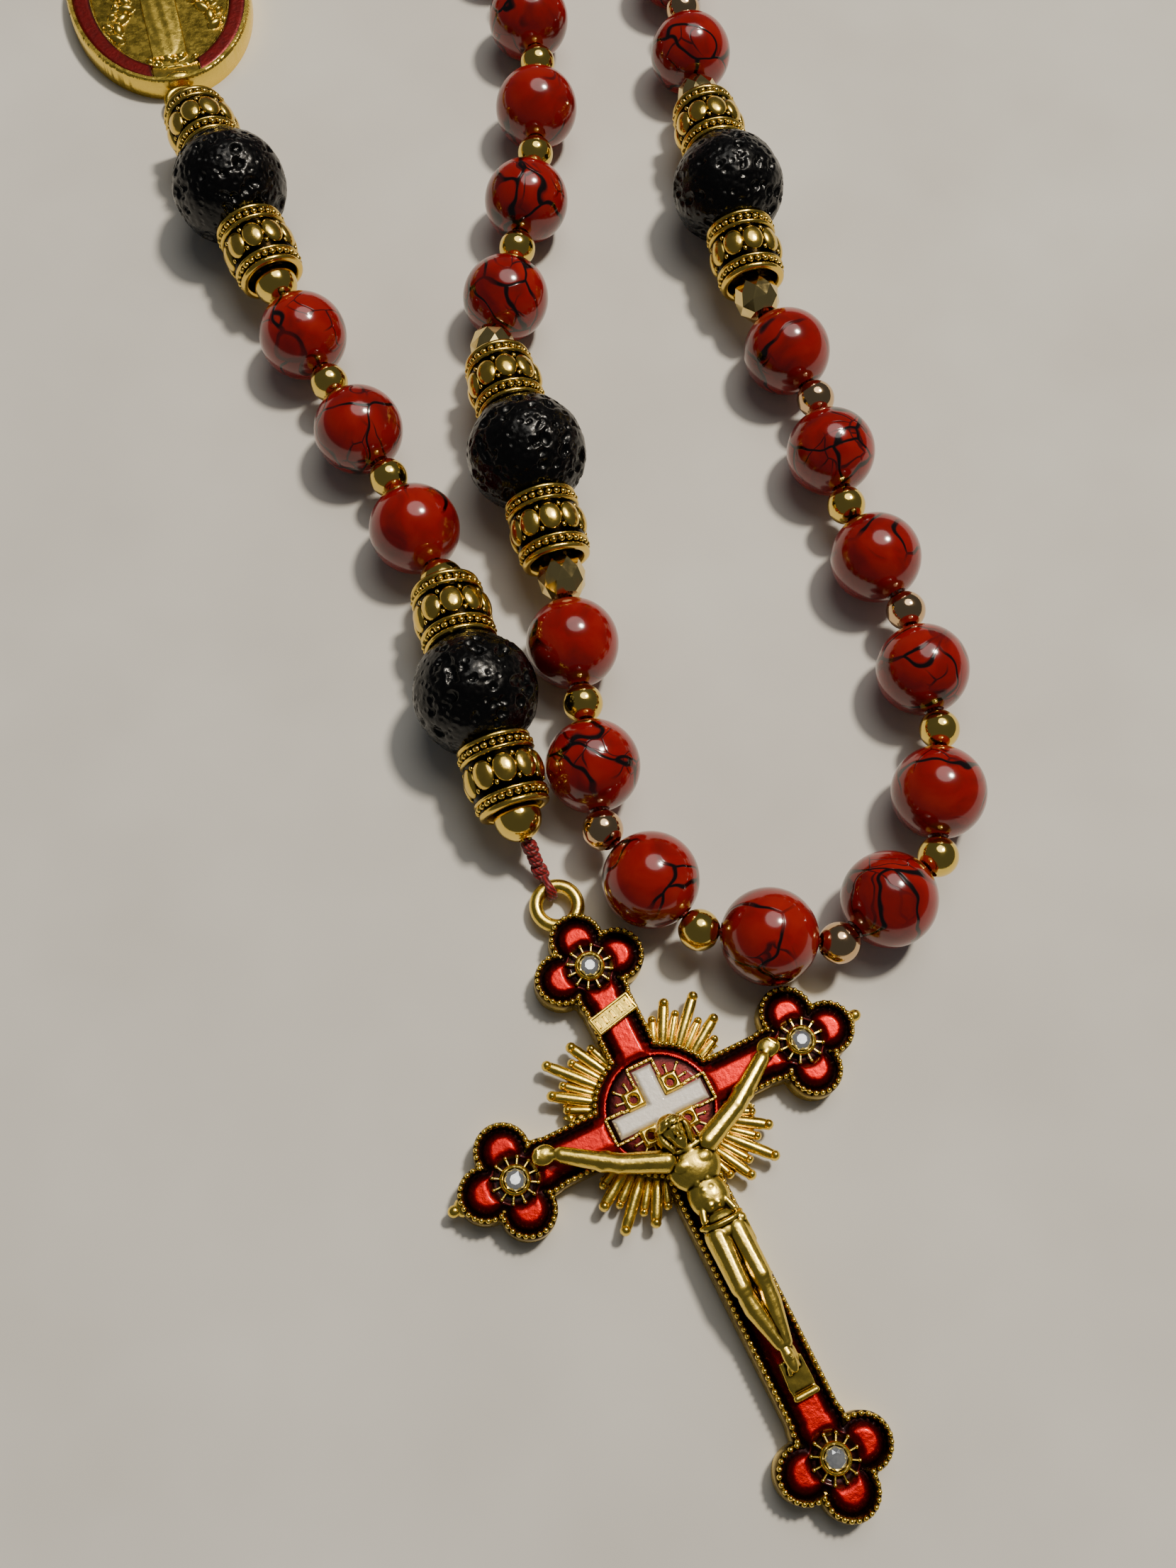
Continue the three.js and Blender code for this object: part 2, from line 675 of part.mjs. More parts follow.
// The cross with a lobed end on each arm and a round centre, as solids to be joined.
function crossPieces(inset, bottom, top) {
  const half = armHalfWidth - inset;
  const pieces = [
    disc(discRadius - inset, bottom, top, 20),
    block(2 * half, stoneAtTop - stoneAtFoot, bottom, top).translate(0, (stoneAtTop + stoneAtFoot) / 2, 0),
    block(2 * stoneAtSide, 2 * half, bottom, top),
  ];
  for (const [x, y] of Object.values(stones)) {
    pieces.push(disc(lobeMiddleRadius - inset, bottom, top, 8).translate(x, y, 0));
    for (const [dx, dy] of [[1, 0], [-1, 0], [0, 1], [0, -1]]) {
      const lobe = disc(lobeRadius - inset, bottom, top, 8);
      pieces.push(lobe.translate(x + dx * lobeOffset, y + dy * lobeOffset, 0));
    }
  }
  return pieces;
}

// A fan of flat rays in each corner between the arms, cut as one star: [angle, tip radius].
const rays = [[26, 7.4], [33, 8.7], [40, 8.2], [47, 9.7], [54, 8.2], [61, 8.7], [68, 7.4]];
const rayRoot = 6.3;
const rayHalfWidth = 0.26;
const rayBottom = 0.6;
const rayTop = 1.5;
function rayStar() {
  const star = new THREE.Shape();
  const polar = (radius, degrees, side) => {
    const angle = THREE.MathUtils.degToRad(degrees) + (side * rayHalfWidth) / radius;
    return new THREE.Vector2(radius * Math.cos(angle), radius * Math.sin(angle));
  };
  const outline = [0, 1, 2, 3].flatMap((corner) => {
    const fan = corner % 2 ? rays.map(([angle, tip]) => [90 - angle, tip]).reverse() : rays;
    return fan.flatMap(([angle, tip]) => [
      polar(rayRoot, corner * 90 + angle, -1), polar(tip, corner * 90 + angle, -1),
      polar(tip, corner * 90 + angle, 1), polar(rayRoot, corner * 90 + angle, 1),
    ]);
  });
  star.setFromPoints(outline);
  return slab(star, rayBottom, rayTop);
}

// Metal that stands in the pocket is let into its floor by this much.
const rootDepth = 0.3;

function bezel([x, y]) {
  const cup = disc(bezelRadius, enamelFloor - rootDepth, bezelTop, 10);
  return cutFrom(cup, [disc(seatRadius, bezelSeat, bezelTop + 1, 10)]).translate(x, y, 0);
}

function crucifixBody() {
  const pocket = joined(crossPieces(rimWidth, enamelFloor, crossThickness + 1));
  const shell = cutFrom(joined(crossPieces(0, 0, crossThickness)), [pocket]);
  const nubs = [-1, 1].map((side) => ball([side * nubReach, 0, crossThickness / 2], nubRadius, 6, 4));
  return joined([
    shell,
    rayStar(),
    ...Object.values(stones).map(bezel),
    ...nubs,
    disc(medallionRadius, enamelFloor - rootDepth, medallionTop, 24),
    flatRing(crossRingCentre, crossRingRadius, crossRingWire),
  ]);
}

function redEnamelFill() {
  const bottom = enamelFloor + pieceGap;
  const holes = Object.values(stones).map(([x, y]) => (
    disc(bezelRadius + pieceGap, 0, 4, 10).translate(x, y, 0)
  ));
  const fill = joined(crossPieces(rimWidth + pieceGap, bottom, enamelTop));
  return cutFrom(fill, [...holes, disc(medallionRadius + pieceGap, 0, 4, 24)]);
}

function whiteEnamelCross() {
  const bottom = medallionTop + pieceGap;
  const upright = block(whiteCrossWidth, whiteCrossHeight, bottom, whiteCrossTop);
  const bar = block(whiteCrossSpan, whiteCrossWidth, bottom, whiteCrossTop);
  return joined([upright.translate(0, whiteCrossShift, 0), bar]);
}

// A tapered limb through points, with a ball a little fuller than the limb at each joint.
const jointFullness = 1.03;
function limb(points, radii) {
  const places = points.map((point) => new THREE.Vector3(...point));
  const joints = places.map((place, i) => ball(place, radii[i] * jointFullness, 5, 3));
  const bones = places.slice(1).map((to, i) => {
    const along = to.clone().sub(places[i]);
    const bone = new THREE.CylinderGeometry(radii[i + 1], radii[i], along.length(), 5);
    bone.rotateX(Math.PI / 2).applyQuaternion(turnTo(along.clone().normalize()));
    return bone.translate(...places[i].clone().add(to).multiplyScalar(0.5));
  });
  return [...joints, ...bones];
}

function flattened(centre, size, around = 7, rings = 4) {
  return new THREE.SphereGeometry(0.5, around, rings).scale(...size).translate(...centre);
}

// The cast figure: raised arms, bowed head, loincloth, and feet on a wedge.
function corpus() {
  return joined([
    ...limb([[-1.2, -4.1, 3.9], [-5.6, -2, 3.7], [-10, 0.8, 3.3]], [0.7, 0.5, 0.36]),
    ...limb([[1.4, -4.1, 3.9], [5.9, -1.8, 3.7], [9.6, 0.6, 3.3]], [0.7, 0.5, 0.36]),
    flattened([-0.3, -2.3, 4.3], [2.6, 3.2, 2.4]),
    flattened([0, -3.9, 4], [1.9, 2.6, 1.6]),
    flattened([0.1, -5.4, 3.9], [4, 4.8, 1.9]),
    flattened([0.1, -8.4, 3.8], [2.6, 3.6, 1.6]),
    flattened([0, -10.8, 3.85], [3.6, 3.2, 1.9]),
    ...limb([[-0.8, -11, 3.8], [-0.8, -15.6, 4.3], [0, -19.8, 3.8]], [0.85, 0.65, 0.45]),
    ...limb([[0.8, -11, 3.8], [0.8, -15.4, 4.4], [0.3, -19.8, 3.9]], [0.85, 0.65, 0.45]),
    flattened([0.1, -20.8, 3.7], [1.7, 3.4, 1.7], 6, 4),
    block(2.3, 3, 2.8, 3.6).translate(0, -22, 0),
  ]);
}

function crystalStone() {
  return turned([[0, 2.15], [crystalRadius, 2.55], [crystalRadius, 2.7], [0.5, 3], [0, 3]], 8);
}

function addCrucifix() {
  const crucifix = new THREE.Group();
  crucifix.position.set(crossCentre.x, crossCentre.y, 0);
  crucifix.rotation.z = crossTurn;
  rosary.add(crucifix);
  addPiece('crucifix_body', crucifixBody(), gold, crucifix);
  addPiece('crucifix_red_enamel', redEnamelFill(), redEnamel, crucifix);
  addPiece('crucifix_white_enamel', whiteEnamelCross(), whiteEnamel, crucifix);
  addPiece('crucifix_corpus', corpus(), gold, crucifix);
  const plaque = block(plaqueWidth, plaqueHeight, crossThickness + pieceGap, plaqueTop);
  plaque.rotateZ(plaqueTurn).translate(...plaqueCentre, 0);
  addPiece('crucifix_title_plaque', plaque, gold, crucifix);
  for (const [name, [x, y]] of Object.entries(stones)) {
    addPiece(`crystal_${name}`, crystalStone().translate(x, y, 0), crystal, crucifix);
  }
}
addCrucifix();

// Pivots, and the origin at the middle of the footprint

const footprint = new THREE.Box3().setFromObject(rosary, true);
const middle = footprint.getCenter(new THREE.Vector3());
rosary.position.set(-middle.x, -middle.y, -footprint.min.z);
rosary.userData.pivots = {
  rightEar, leftEar, medalRing, medalTie, upperEndSpacer, upperSpacer, lowerSpacer, lowerEndSpacer,
  crossTie, leftFold, rightFold, leftUpperFold, rightUpperFold,
};

export default rosary;
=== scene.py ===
# A rosary laid out on a pale table: red crackled beads, black lava beads, gold spacers and caps,
# an oval medal, and an enamelled crucifix.
import json
import math
import random

import bpy
import numpy as np
from mathutils import Matrix, Vector, noise

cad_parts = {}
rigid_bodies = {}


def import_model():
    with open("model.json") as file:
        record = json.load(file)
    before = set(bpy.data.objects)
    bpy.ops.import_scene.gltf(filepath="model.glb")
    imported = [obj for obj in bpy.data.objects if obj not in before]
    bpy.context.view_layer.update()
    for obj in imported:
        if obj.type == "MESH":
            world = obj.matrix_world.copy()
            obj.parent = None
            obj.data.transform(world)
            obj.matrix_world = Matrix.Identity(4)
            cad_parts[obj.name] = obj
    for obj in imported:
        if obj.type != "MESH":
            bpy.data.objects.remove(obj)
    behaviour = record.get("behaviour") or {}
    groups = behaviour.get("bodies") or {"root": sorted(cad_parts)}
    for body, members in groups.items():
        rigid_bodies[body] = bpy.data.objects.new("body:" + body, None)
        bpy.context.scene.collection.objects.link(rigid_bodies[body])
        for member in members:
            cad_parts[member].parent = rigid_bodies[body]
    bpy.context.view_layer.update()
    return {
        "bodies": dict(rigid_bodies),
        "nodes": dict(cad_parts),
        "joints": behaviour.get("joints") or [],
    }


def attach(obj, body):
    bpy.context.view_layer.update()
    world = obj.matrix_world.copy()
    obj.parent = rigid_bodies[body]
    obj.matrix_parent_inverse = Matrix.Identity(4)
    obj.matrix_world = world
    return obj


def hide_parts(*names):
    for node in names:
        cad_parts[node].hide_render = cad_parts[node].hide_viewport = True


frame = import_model()
print("frame loaded:", len(frame["nodes"]), "CAD nodes")

mm = 0.001
jointPlaces = {joint["name"]: Vector(joint["pos_m"]) / mm for joint in frame["joints"]}
random.seed(12)

# Sizes along the string in mm, and the listed route of the loop and of the pendant strand
layout = {
    "redRadius": 4, "lavaRadius": 5.4, "spacerPitch": 11.4, "redToFaceted": 6.2, "lavaToFaceted": 12.1,
    "lavaToCap": 7.7, "lavaToEndSpacer": 11.3, "endSpacerToRed": 6, "lavaToThread": 11.2,
    "redHeight": 4, "lavaHeight": 5.4, "facetedHeight": 4.45, "threadExitHeight": 4.4,
    "leftLowLinks": 3, "rightLowLinks": 5, "highLinks": 8, "spacerRadius": 1.72, "endSpacerRadius": 2.0,
}
loopRoute = [
    (-41.2, 101), (-37, 114), (-32, 127), (-33, 141), (-38, 154), (-38.5, 167.5), (-32, 179.5),
    (-20.5, 185.5), (-9, 179.5), (-3.5, 167.5), (-5, 154), (-12, 141), (-17.5, 127), (-17.5, 113),
    (-12, 100), (-7.5, 88), (-5.3, 76.2), (-5.3, 64.8), (-6.9, 53), (-9, 41.4), (-2.6, 17.9),
    (-0.7, 6.3), (0.9, -5.3), (8.4, -13.8), (20.2, -14.9), (28.7, -7.6), (29.8, 3.9),
    (27.7, 15.3), (23.1, 25.5), (20.8, 37), (15.9, 47), (10.9, 71), (9.5, 83.6), (8.2, 95),
    (8, 107), (9, 119), (10.5, 132), (11.5, 145), (11, 159), (8, 174), (1, 186), (-9, 194),
    (-21, 197), (-33, 194), (-43, 186), (-50, 174), (-53, 160), (-53.5, 146), (-53, 132),
    (-53.5, 118), (-54, 107), (-53.4, 98),
]
loopAnchor = (20.2, -14.9)
pendantRoute = [
    (-40.4, 71.7), (-33.8, 57), (-28.8, 46.6), (-23.8, 37.2), (-18.1, 27.6), (-12.9, 17),
    (-9.7, 5.9), (-5.9, -5), (-2.7, -11.2),
]
pendantAnchor = (-9.7, 5.9)


def smoothRoute(route):
    # Centripetal Catmull-Rom through the points, drawn fine enough to walk along
    points = [np.array(p, float) for p in route]
    spans = len(points) - 1
    places = []
    for step in range(len(points) * 120 + 1):
        along = spans * step / (len(points) * 120)
        i = min(int(along), spans - 1)
        t = along - i
        p1, p2 = points[i], points[i + 1]
        p0 = points[i - 1] if i > 0 else 2 * points[0] - points[1]
        p3 = points[i + 2] if i + 2 <= spans else 2 * points[-1] - points[-2]
        d0, d1, d2 = (math.sqrt(np.linalg.norm(b - a)) for a, b in ((p0, p1), (p1, p2), (p2, p3)))
        m1 = ((p1 - p0) / d0 - (p2 - p0) / (d0 + d1) + (p2 - p1) / d1) * d1
        m2 = ((p2 - p1) / d1 - (p3 - p1) / (d1 + d2) + (p3 - p2) / d2) * d1
        c2, c3 = -3 * p1 + 3 * p2 - 2 * m1 - m2, 2 * p1 - 2 * p2 + m1 + m2
        places.append(p1 + m1 * t + c2 * t * t + c3 * t ** 3)
    return places


def walk(path, start, steps, way):
    places, here, index = [], path[start], start
    for step in steps:
        while 0 <= index + way < len(path) and np.linalg.norm(path[index] - here) < step:
            index += way
        here = path[index]
        places.append(here)
    return places


def nearest(path, point):
    return int(np.argmin([np.linalg.norm(p - np.array(point)) for p in path]))


def raised(flat, height):
    return Vector((flat[0], flat[1], height))


def between(a, b, distance):
    return a + (b - a).normalized() * distance


def loopSide(path, start, way, lowLinks):
    pitch, highLinks = layout["spacerPitch"], layout["highLinks"]
    endLink, section = pitch / 2 + layout["redToFaceted"], 2 * layout["lavaToFaceted"]
    steps = [pitch] * lowLinks + [endLink, section, endLink]
    steps += [pitch] * highLinks + [endLink, section, endLink] + [pitch] * highLinks
    far = lowLinks + 3 + highLinks
    facetedPlaces = (lowLinks, lowLinks + 1, far, far + 1)
    heights = [layout["facetedHeight" if i in facetedPlaces else "redHeight"] for i in range(len(steps))]
    return [raised(p, h) for p, h in zip(walk(path, start, steps, way), heights)]


loopPath = smoothRoute(loopRoute)
loopStart = nearest(loopPath, loopAnchor)
anchorSpacer = raised(loopPath[loopStart], layout["redHeight"])
leftSide = [anchorSpacer] + loopSide(loopPath, loopStart, -1, layout["leftLowLinks"])
rightSide = [anchorSpacer] + loopSide(loopPath, loopStart, 1, layout["rightLowLinks"])
leftNear, rightNear = layout["leftLowLinks"] + 1, layout["rightLowLinks"] + 1

pendantPath = smoothRoute(pendantRoute)
pendantStart = nearest(pendantPath, pendantAnchor)
lowerLava = raised(pendantPath[pendantStart], layout["lavaHeight"])
link = layout["endSpacerToRed"] + layout["spacerPitch"] / 2
lavaToEnd = layout["lavaToEndSpacer"]
upward = walk(pendantPath, pendantStart,
              [lavaToEnd, link, layout["spacerPitch"], link, lavaToEnd, layout["lavaToThread"]], -1)
downward = walk(pendantPath, pendantStart, [lavaToEnd], 1)
lowerEndSpacer = raised(upward[0], layout["threadExitHeight"])
lowerSpacer = raised(upward[1], layout["redHeight"])
upperSpacer = raised(upward[2], layout["redHeight"])
upperEndSpacer = raised(upward[3], layout["threadExitHeight"])
upperLava = raised(upward[4], layout["lavaHeight"])
upperThreadExit = raised(upward[5], layout["threadExitHeight"])
lastSpacer = raised(downward[0], layout["threadExitHeight"])

# The layout has an origin of its own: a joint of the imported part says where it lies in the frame
layoutShift = jointPlaces["pendant_lava_lower_spin"] - lowerLava
print("route laid: shift %.2f %.2f %.2f mm" % tuple(layoutShift))

# A part is (points in mm, faces, tone). Tone runs from 0 in a hollow to 1 on a high spot.
# Dark hollows are patina on the antiqued caps, and painted shade on the other gold parts and the lava stone.


def turned(profile, segments=48, closed=False, tones=None):
    # Turns (radius, height) round +Z; the outline runs upwards on the outside
    points, faces, toneList, rings = [], [], [], []
    for i, (radius, height) in enumerate(profile):
        tone = tones[i] if tones else 0.7
        if radius < 1e-9:
            rings.append([len(points)])
            points.append((0, 0, height))
            toneList.append(tone)
            continue
        rings.append(list(range(len(points), len(points) + segments)))
        for k in range(segments):
            angle = 2 * math.pi * k / segments
            points.append((radius * math.cos(angle), radius * math.sin(angle), height))
            toneList.append(tone)
    for low, high in list(zip(rings, rings[1:])) + ([(rings[-1], rings[0])] if closed else []):
        for k in range(segments):
            n = (k + 1) % segments
            if len(low) == 1:
                faces.append((low[0], high[n], high[k]))
            elif len(high) == 1:
                faces.append((low[k], low[n], high[0]))
            else:
                faces.append((low[k], low[n], high[n], high[k]))
    return np.array(points, float), faces, np.array(toneList, float)


def ball(centre, radii, around=12, rings=8, tone=1.0, base=None):
    # base, if given, is the tone at the lower pole: painted shade, so that a stud is dark where it meets its
    # ground
    radii = (radii,) * 3 if isinstance(radii, (int, float)) else radii
    angles = [math.pi * (i / rings - 0.5) for i in range(rings + 1)]
    profile = [(max(math.cos(a), 0) if 0 < i < rings else 0, math.sin(a)) for i, a in enumerate(angles)]
    tones = [tone] * (rings + 1)
    if base is not None:
        tones = [base + (tone - base) * min(1, max(0, 0.6 + 0.9 * math.sin(a))) for a in angles]
    points, faces, toneList = turned(profile, around, tones=tones)
    return points * np.array(radii) + np.array(centre), faces, toneList


def tube(line, radius, sides=8, closed=False, tone=0.8, squash=1.0):
    # A round bar along points; radius may change from point to point
    line = [Vector(p) for p in line]
    count = len(line)
    radii = list(radius) if hasattr(radius, "__len__") else [radius] * count
    points, faces = [], []
    side = None
    for i, here in enumerate(line):
        before = line[i - 1] if i > 0 or closed else here
        after = line[(i + 1) % count] if i < count - 1 or closed else here
        along = (after - before).normalized()
        if side is None:
            side = along.cross(Vector((0, 0, 1)))
            if side.length < 0.1:
                side = along.cross(Vector((0, 1, 0)))
        side = (side - along * side.dot(along)).normalized()
        up = side.cross(along)
        for k in range(sides):
            angle = 2 * math.pi * k / sides
            offset = side * math.cos(angle) + up * math.sin(angle) * squash
            points.append(here + offset * radii[i])
    for i in range(count if closed else count - 1):
        n = (i + 1) % count
        for k in range(sides):
            m = (k + 1) % sides
            faces.append((i * sides + k, n * sides + k, n * sides + m, i * sides + m))
    if not closed:
        faces.append(tuple(range(sides)))
        faces.append(tuple(reversed(range((count - 1) * sides, count * sides))))
    return np.array([tuple(p) for p in points], float), faces, np.full(len(points), tone)


def ringPart(centre, radius, wire, around=40, sides=10, tone=0.8, tilt=None):
    angles = [2 * math.pi * k / around for k in range(around)]
    line = [Vector((radius * math.cos(a), radius * math.sin(a), 0)) for a in angles]
    if tilt is not None:
        line = [tilt @ p for p in line]
    return tube([p + Vector(centre) for p in line], wire, sides, True, tone)


def moved(part, matrix):
    points, faces, tone = part
    turn, shift = np.array(matrix.to_3x3()), np.array(matrix.translation)
    return points @ turn.T + shift, faces, tone


def buildMesh(name, parts, finish, smooth=True, sharpAngle=None):
    points, faces, tones, count = [], [], [], 0
    for partPoints, partFaces, partTone in parts:
        points.append(partPoints)
        tones.append(partTone)
        faces.extend(tuple(i + count for i in face) for face in partFaces)
        count += len(partPoints)
    mesh = bpy.data.meshes.new(name)
    mesh.from_pydata((np.concatenate(points) * mm).tolist(), [], faces)
    tone = mesh.attributes.new("tone", "FLOAT", "POINT")
    tone.data.foreach_set("value", np.concatenate(tones).astype(np.float32))
    mesh.polygons.foreach_set("use_smooth", [smooth] * len(faces))
    if smooth and sharpAngle:
        mesh.set_sharp_from_angle(angle=math.radians(sharpAngle))
    mesh.materials.append(finish["material"])
    mesh.update()
    return mesh


def onString(centre, direction, spin=0.0):
    # Matrix in the frame's metres that puts a piece's +Z along the string
    turn = Vector((0, 0, 1)).rotation_difference(direction.normalized()).to_matrix().to_4x4()
    return Matrix.Translation((centre + layoutShift) * mm) @ turn @ Matrix.Rotation(spin, 4, "Z")


def addPiece(name, mesh, body, nodes=(), matrix=None):
    piece = bpy.data.objects.new(name, mesh)
    bpy.context.scene.collection.objects.link(piece)
    piece.matrix_world = matrix if matrix is not None else Matrix.Identity(4)
    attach(piece, body)
    if nodes:
        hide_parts(*nodes)
    return piece


# Materials


def linearColour(text):
    channels = [int(text[i:i + 2], 16) / 255 for i in (1, 3, 5)]
    return [c / 12.92 if c <= 0.04045 else ((c + 0.055) / 1.055) ** 2.4 for c in channels] + [1]


def addNode(tree, kind, settings=None, values=None, links=None, stops=None):
    # settings are the node's own options, values its plain sockets, links the sockets fed by another node
    node = tree.nodes.new(kind)
    for name, value in (settings or {}).items():
        setattr(node, name, value)
    for socket, value in (values or {}).items():
        node.inputs[socket].default_value = value
    for socket, source in (links or {}).items():
        tree.links.new(source, node.inputs[socket])
    if stops:
        ramp = node.color_ramp.elements
        while len(ramp) < len(stops):
            ramp.new(0.5)
        for element, (place, text) in zip(ramp, stops):
            element.position = place
            element.color = linearColour(text)
    return node


def startMaterial(name, slotName, surface):
    material = bpy.data.materials.new(name)
    material.use_nodes = True
    tree = material.node_tree
    shader = tree.nodes["Principled BSDF"]
    for socket, value in surface.items():
        shader.inputs[socket].default_value = value
    place = addNode(tree, "ShaderNodeTexCoord")
    inMm = addNode(tree, "ShaderNodeVectorMath", {"operation": "SCALE"}, {"Scale": 1000},
                   {0: place.outputs["Object"]})
    return {"material": material, "slot": slotName}, tree, shader, inMm.outputs[0]


def polishedRedHowlite():
    # Howlite, dyed red and tumbled to a polish: glassy highlights over dark crackle veins.
    # Veins run round cells of about 5 mm and are 0.2 to 0.35 mm wide; every bead has its own pattern.
    finish, tree, shader, inMm = startMaterial("polishedRedHowlite", "red_stone", {
        "Roughness": 0.13, "IOR": 1.59, "Coat Weight": 0.25, "Coat Roughness": 0.04})
    who = addNode(tree, "ShaderNodeObjectInfo")
    apart = addNode(tree, "ShaderNodeMath", {"operation": "MULTIPLY"}, {1: 311}, {0: who.outputs["Random"]})
    own = addNode(tree, "ShaderNodeVectorMath", {"operation": "ADD"}, {}, {0: inMm, 1: apart.outputs[0]})
    drift = addNode(tree, "ShaderNodeTexNoise", {}, {"Scale": 0.2, "Detail": 1.6, "Roughness": 0.5},
                    {"Vector": own.outputs[0]})
    bent = addNode(tree, "ShaderNodeVectorMath", {"operation": "MULTIPLY_ADD"}, {1: (6, 6, 6)},
                   {0: drift.outputs["Color"], 2: own.outputs[0]})
    cells = addNode(tree, "ShaderNodeTexVoronoi", {"feature": "DISTANCE_TO_EDGE"}, {"Scale": 0.17},
                    {"Vector": bent.outputs[0]})
    fineCells = addNode(tree, "ShaderNodeTexVoronoi", {"feature": "DISTANCE_TO_EDGE"}, {"Scale": 0.36},
                        {"Vector": bent.outputs[0]})
    vein = addNode(tree, "ShaderNodeMapRange", {"interpolation_type": "SMOOTHSTEP"},
                   {1: 0.014, 2: 0.04, 3: 1, 4: 0}, {0: cells.outputs["Distance"]})
    fineVein = addNode(tree, "ShaderNodeMapRange", {"interpolation_type": "SMOOTHSTEP"},
                       {1: 0.012, 2: 0.05, 3: 0.8, 4: 0}, {0: fineCells.outputs["Distance"]})
    patch = addNode(tree, "ShaderNodeTexNoise", {}, {"Scale": 0.16, "Detail": 1}, {"Vector": own.outputs[0]})
    shown = addNode(tree, "ShaderNodeMapRange", {}, {1: 0.38, 2: 0.5}, {0: patch.outputs["Fac"]})
    fineShown = addNode(tree, "ShaderNodeMapRange", {}, {1: 0.55, 2: 0.62}, {0: patch.outputs["Fac"]})
    veinHere = addNode(tree, "ShaderNodeMath", {"operation": "MULTIPLY"}, {},
                       {0: vein.outputs[0], 1: shown.outputs[0]})
    fineHere = addNode(tree, "ShaderNodeMath", {"operation": "MULTIPLY"}, {},
                       {0: fineVein.outputs[0], 1: fineShown.outputs[0]})
    crackle = addNode(tree, "ShaderNodeMath", {"operation": "MAXIMUM"}, {},
                      {0: veinHere.outputs[0], 1: fineHere.outputs[0]})
    cloud = addNode(tree, "ShaderNodeTexNoise", {}, {"Scale": 0.3, "Detail": 4}, {"Vector": bent.outputs[0]})
    stone = addNode(tree, "ShaderNodeValToRGB", links={"Fac": cloud.outputs["Fac"]},
                    stops=[(0.3, "#660806"), (0.5, "#860E09"), (0.72, "#941A11")])
    colour = addNode(tree, "ShaderNodeMix", {"data_type": "RGBA"}, {7: linearColour("#0C0303")},
                     {0: crackle.outputs[0], 6: stone.outputs["Color"]})
    groove = addNode(tree, "ShaderNodeBump", {"invert": True}, {"Strength": 0.25, "Distance": 0.00004},
                     {"Height": crackle.outputs[0]})
    tree.links.new(colour.outputs[2], shader.inputs["Base Color"])
    tree.links.new(groove.outputs["Normal"], shader.inputs["Normal"])
    return finish


def tumbledLavaStone():
    # Basalt, drilled and tumbled, then oiled: near black, satin between open gas pits of 0.3 to 1.2 mm.
    finish, tree, shader, inMm = startMaterial("tumbledLavaStone", "lava_stone", {"IOR": 1.38})
    grain = addNode(tree, "ShaderNodeTexNoise", {}, {"Scale": 2.2, "Detail": 6}, {"Vector": inMm})
    holes = addNode(tree, "ShaderNodeTexVoronoi", {"feature": "SMOOTH_F1"}, {"Scale": 1.1, "Smoothness": 0.3},
                    {"Vector": inMm})
    pits = addNode(tree, "ShaderNodeMapRange", {}, {1: 0.12, 2: 0.34}, {0: holes.outputs["Distance"]})
    tone = addNode(tree, "ShaderNodeAttribute", {"attribute_name": "tone"})
    # Tone darkens the pits: painted shade
    colour = addNode(tree, "ShaderNodeValToRGB", links={"Fac": tone.outputs["Fac"]},
                     stops=[(0.1, "#010101"), (0.9, "#040303")])
    gloss = addNode(tree, "ShaderNodeMapRange", {}, {1: 0.3, 2: 0.7, 3: 0.16, 4: 0.34},
                    {0: grain.outputs["Fac"]})
    height = addNode(tree, "ShaderNodeMath", {"operation": "MULTIPLY_ADD"}, {1: 0.4},
                     {0: grain.outputs["Fac"], 2: pits.outputs[0]})
    bump = addNode(tree, "ShaderNodeBump", {}, {"Strength": 0.5, "Distance": 0.00016},
                   {"Height": height.outputs[0]})
    tree.links.new(colour.outputs["Color"], shader.inputs["Base Color"])
    tree.links.new(gloss.outputs[0], shader.inputs["Roughness"])
    tree.links.new(bump.outputs["Normal"], shader.inputs["Normal"])
    return finish


def platedGold(name, slotName, shine, hollow, roughLow, roughHigh, dent):
    # Gold plating: tone darkens hollows (patina on the antiqued caps, painted shade on the other gold), and a
    # fine unevenness breaks up the reflections.
    finish, tree, shader, inMm = startMaterial(name, slotName, {"Metallic": 1})
    tone = addNode(tree, "ShaderNodeAttribute", {"attribute_name": "tone"})
    blotch = addNode(tree, "ShaderNodeTexNoise", {}, {"Scale": 1.4, "Detail": 4}, {"Vector": inMm})
    mixed = addNode(tree, "ShaderNodeMath", {"operation": "MULTIPLY_ADD"}, {1: 0.3, 2: -0.15},
                    {0: blotch.outputs["Fac"]})
    blotchPatinaAndShade = addNode(tree, "ShaderNodeMath", {"operation": "ADD", "use_clamp": True}, {},
                   {0: mixed.outputs[0], 1: tone.outputs["Fac"]})
    colour = addNode(tree, "ShaderNodeValToRGB", links={"Fac": blotchPatinaAndShade.outputs[0]},
                     stops=[(0.08, hollow), (0.62, shine)])
    gloss = addNode(tree, "ShaderNodeMapRange", {}, {1: 0.3, 2: 0.7, 3: roughLow, 4: roughHigh},
                    {0: blotch.outputs["Fac"]})
    fine = addNode(tree, "ShaderNodeTexNoise", {}, {"Scale": 3.2, "Detail": 3}, {"Vector": inMm})
    bump = addNode(tree, "ShaderNodeBump", {}, {"Strength": dent, "Distance": 0.00005},
                   {"Height": fine.outputs["Fac"]})
    tree.links.new(colour.outputs["Color"], shader.inputs["Base Color"])
    tree.links.new(gloss.outputs[0], shader.inputs["Roughness"])
    tree.links.new(bump.outputs["Normal"], shader.inputs["Normal"])
    return finish


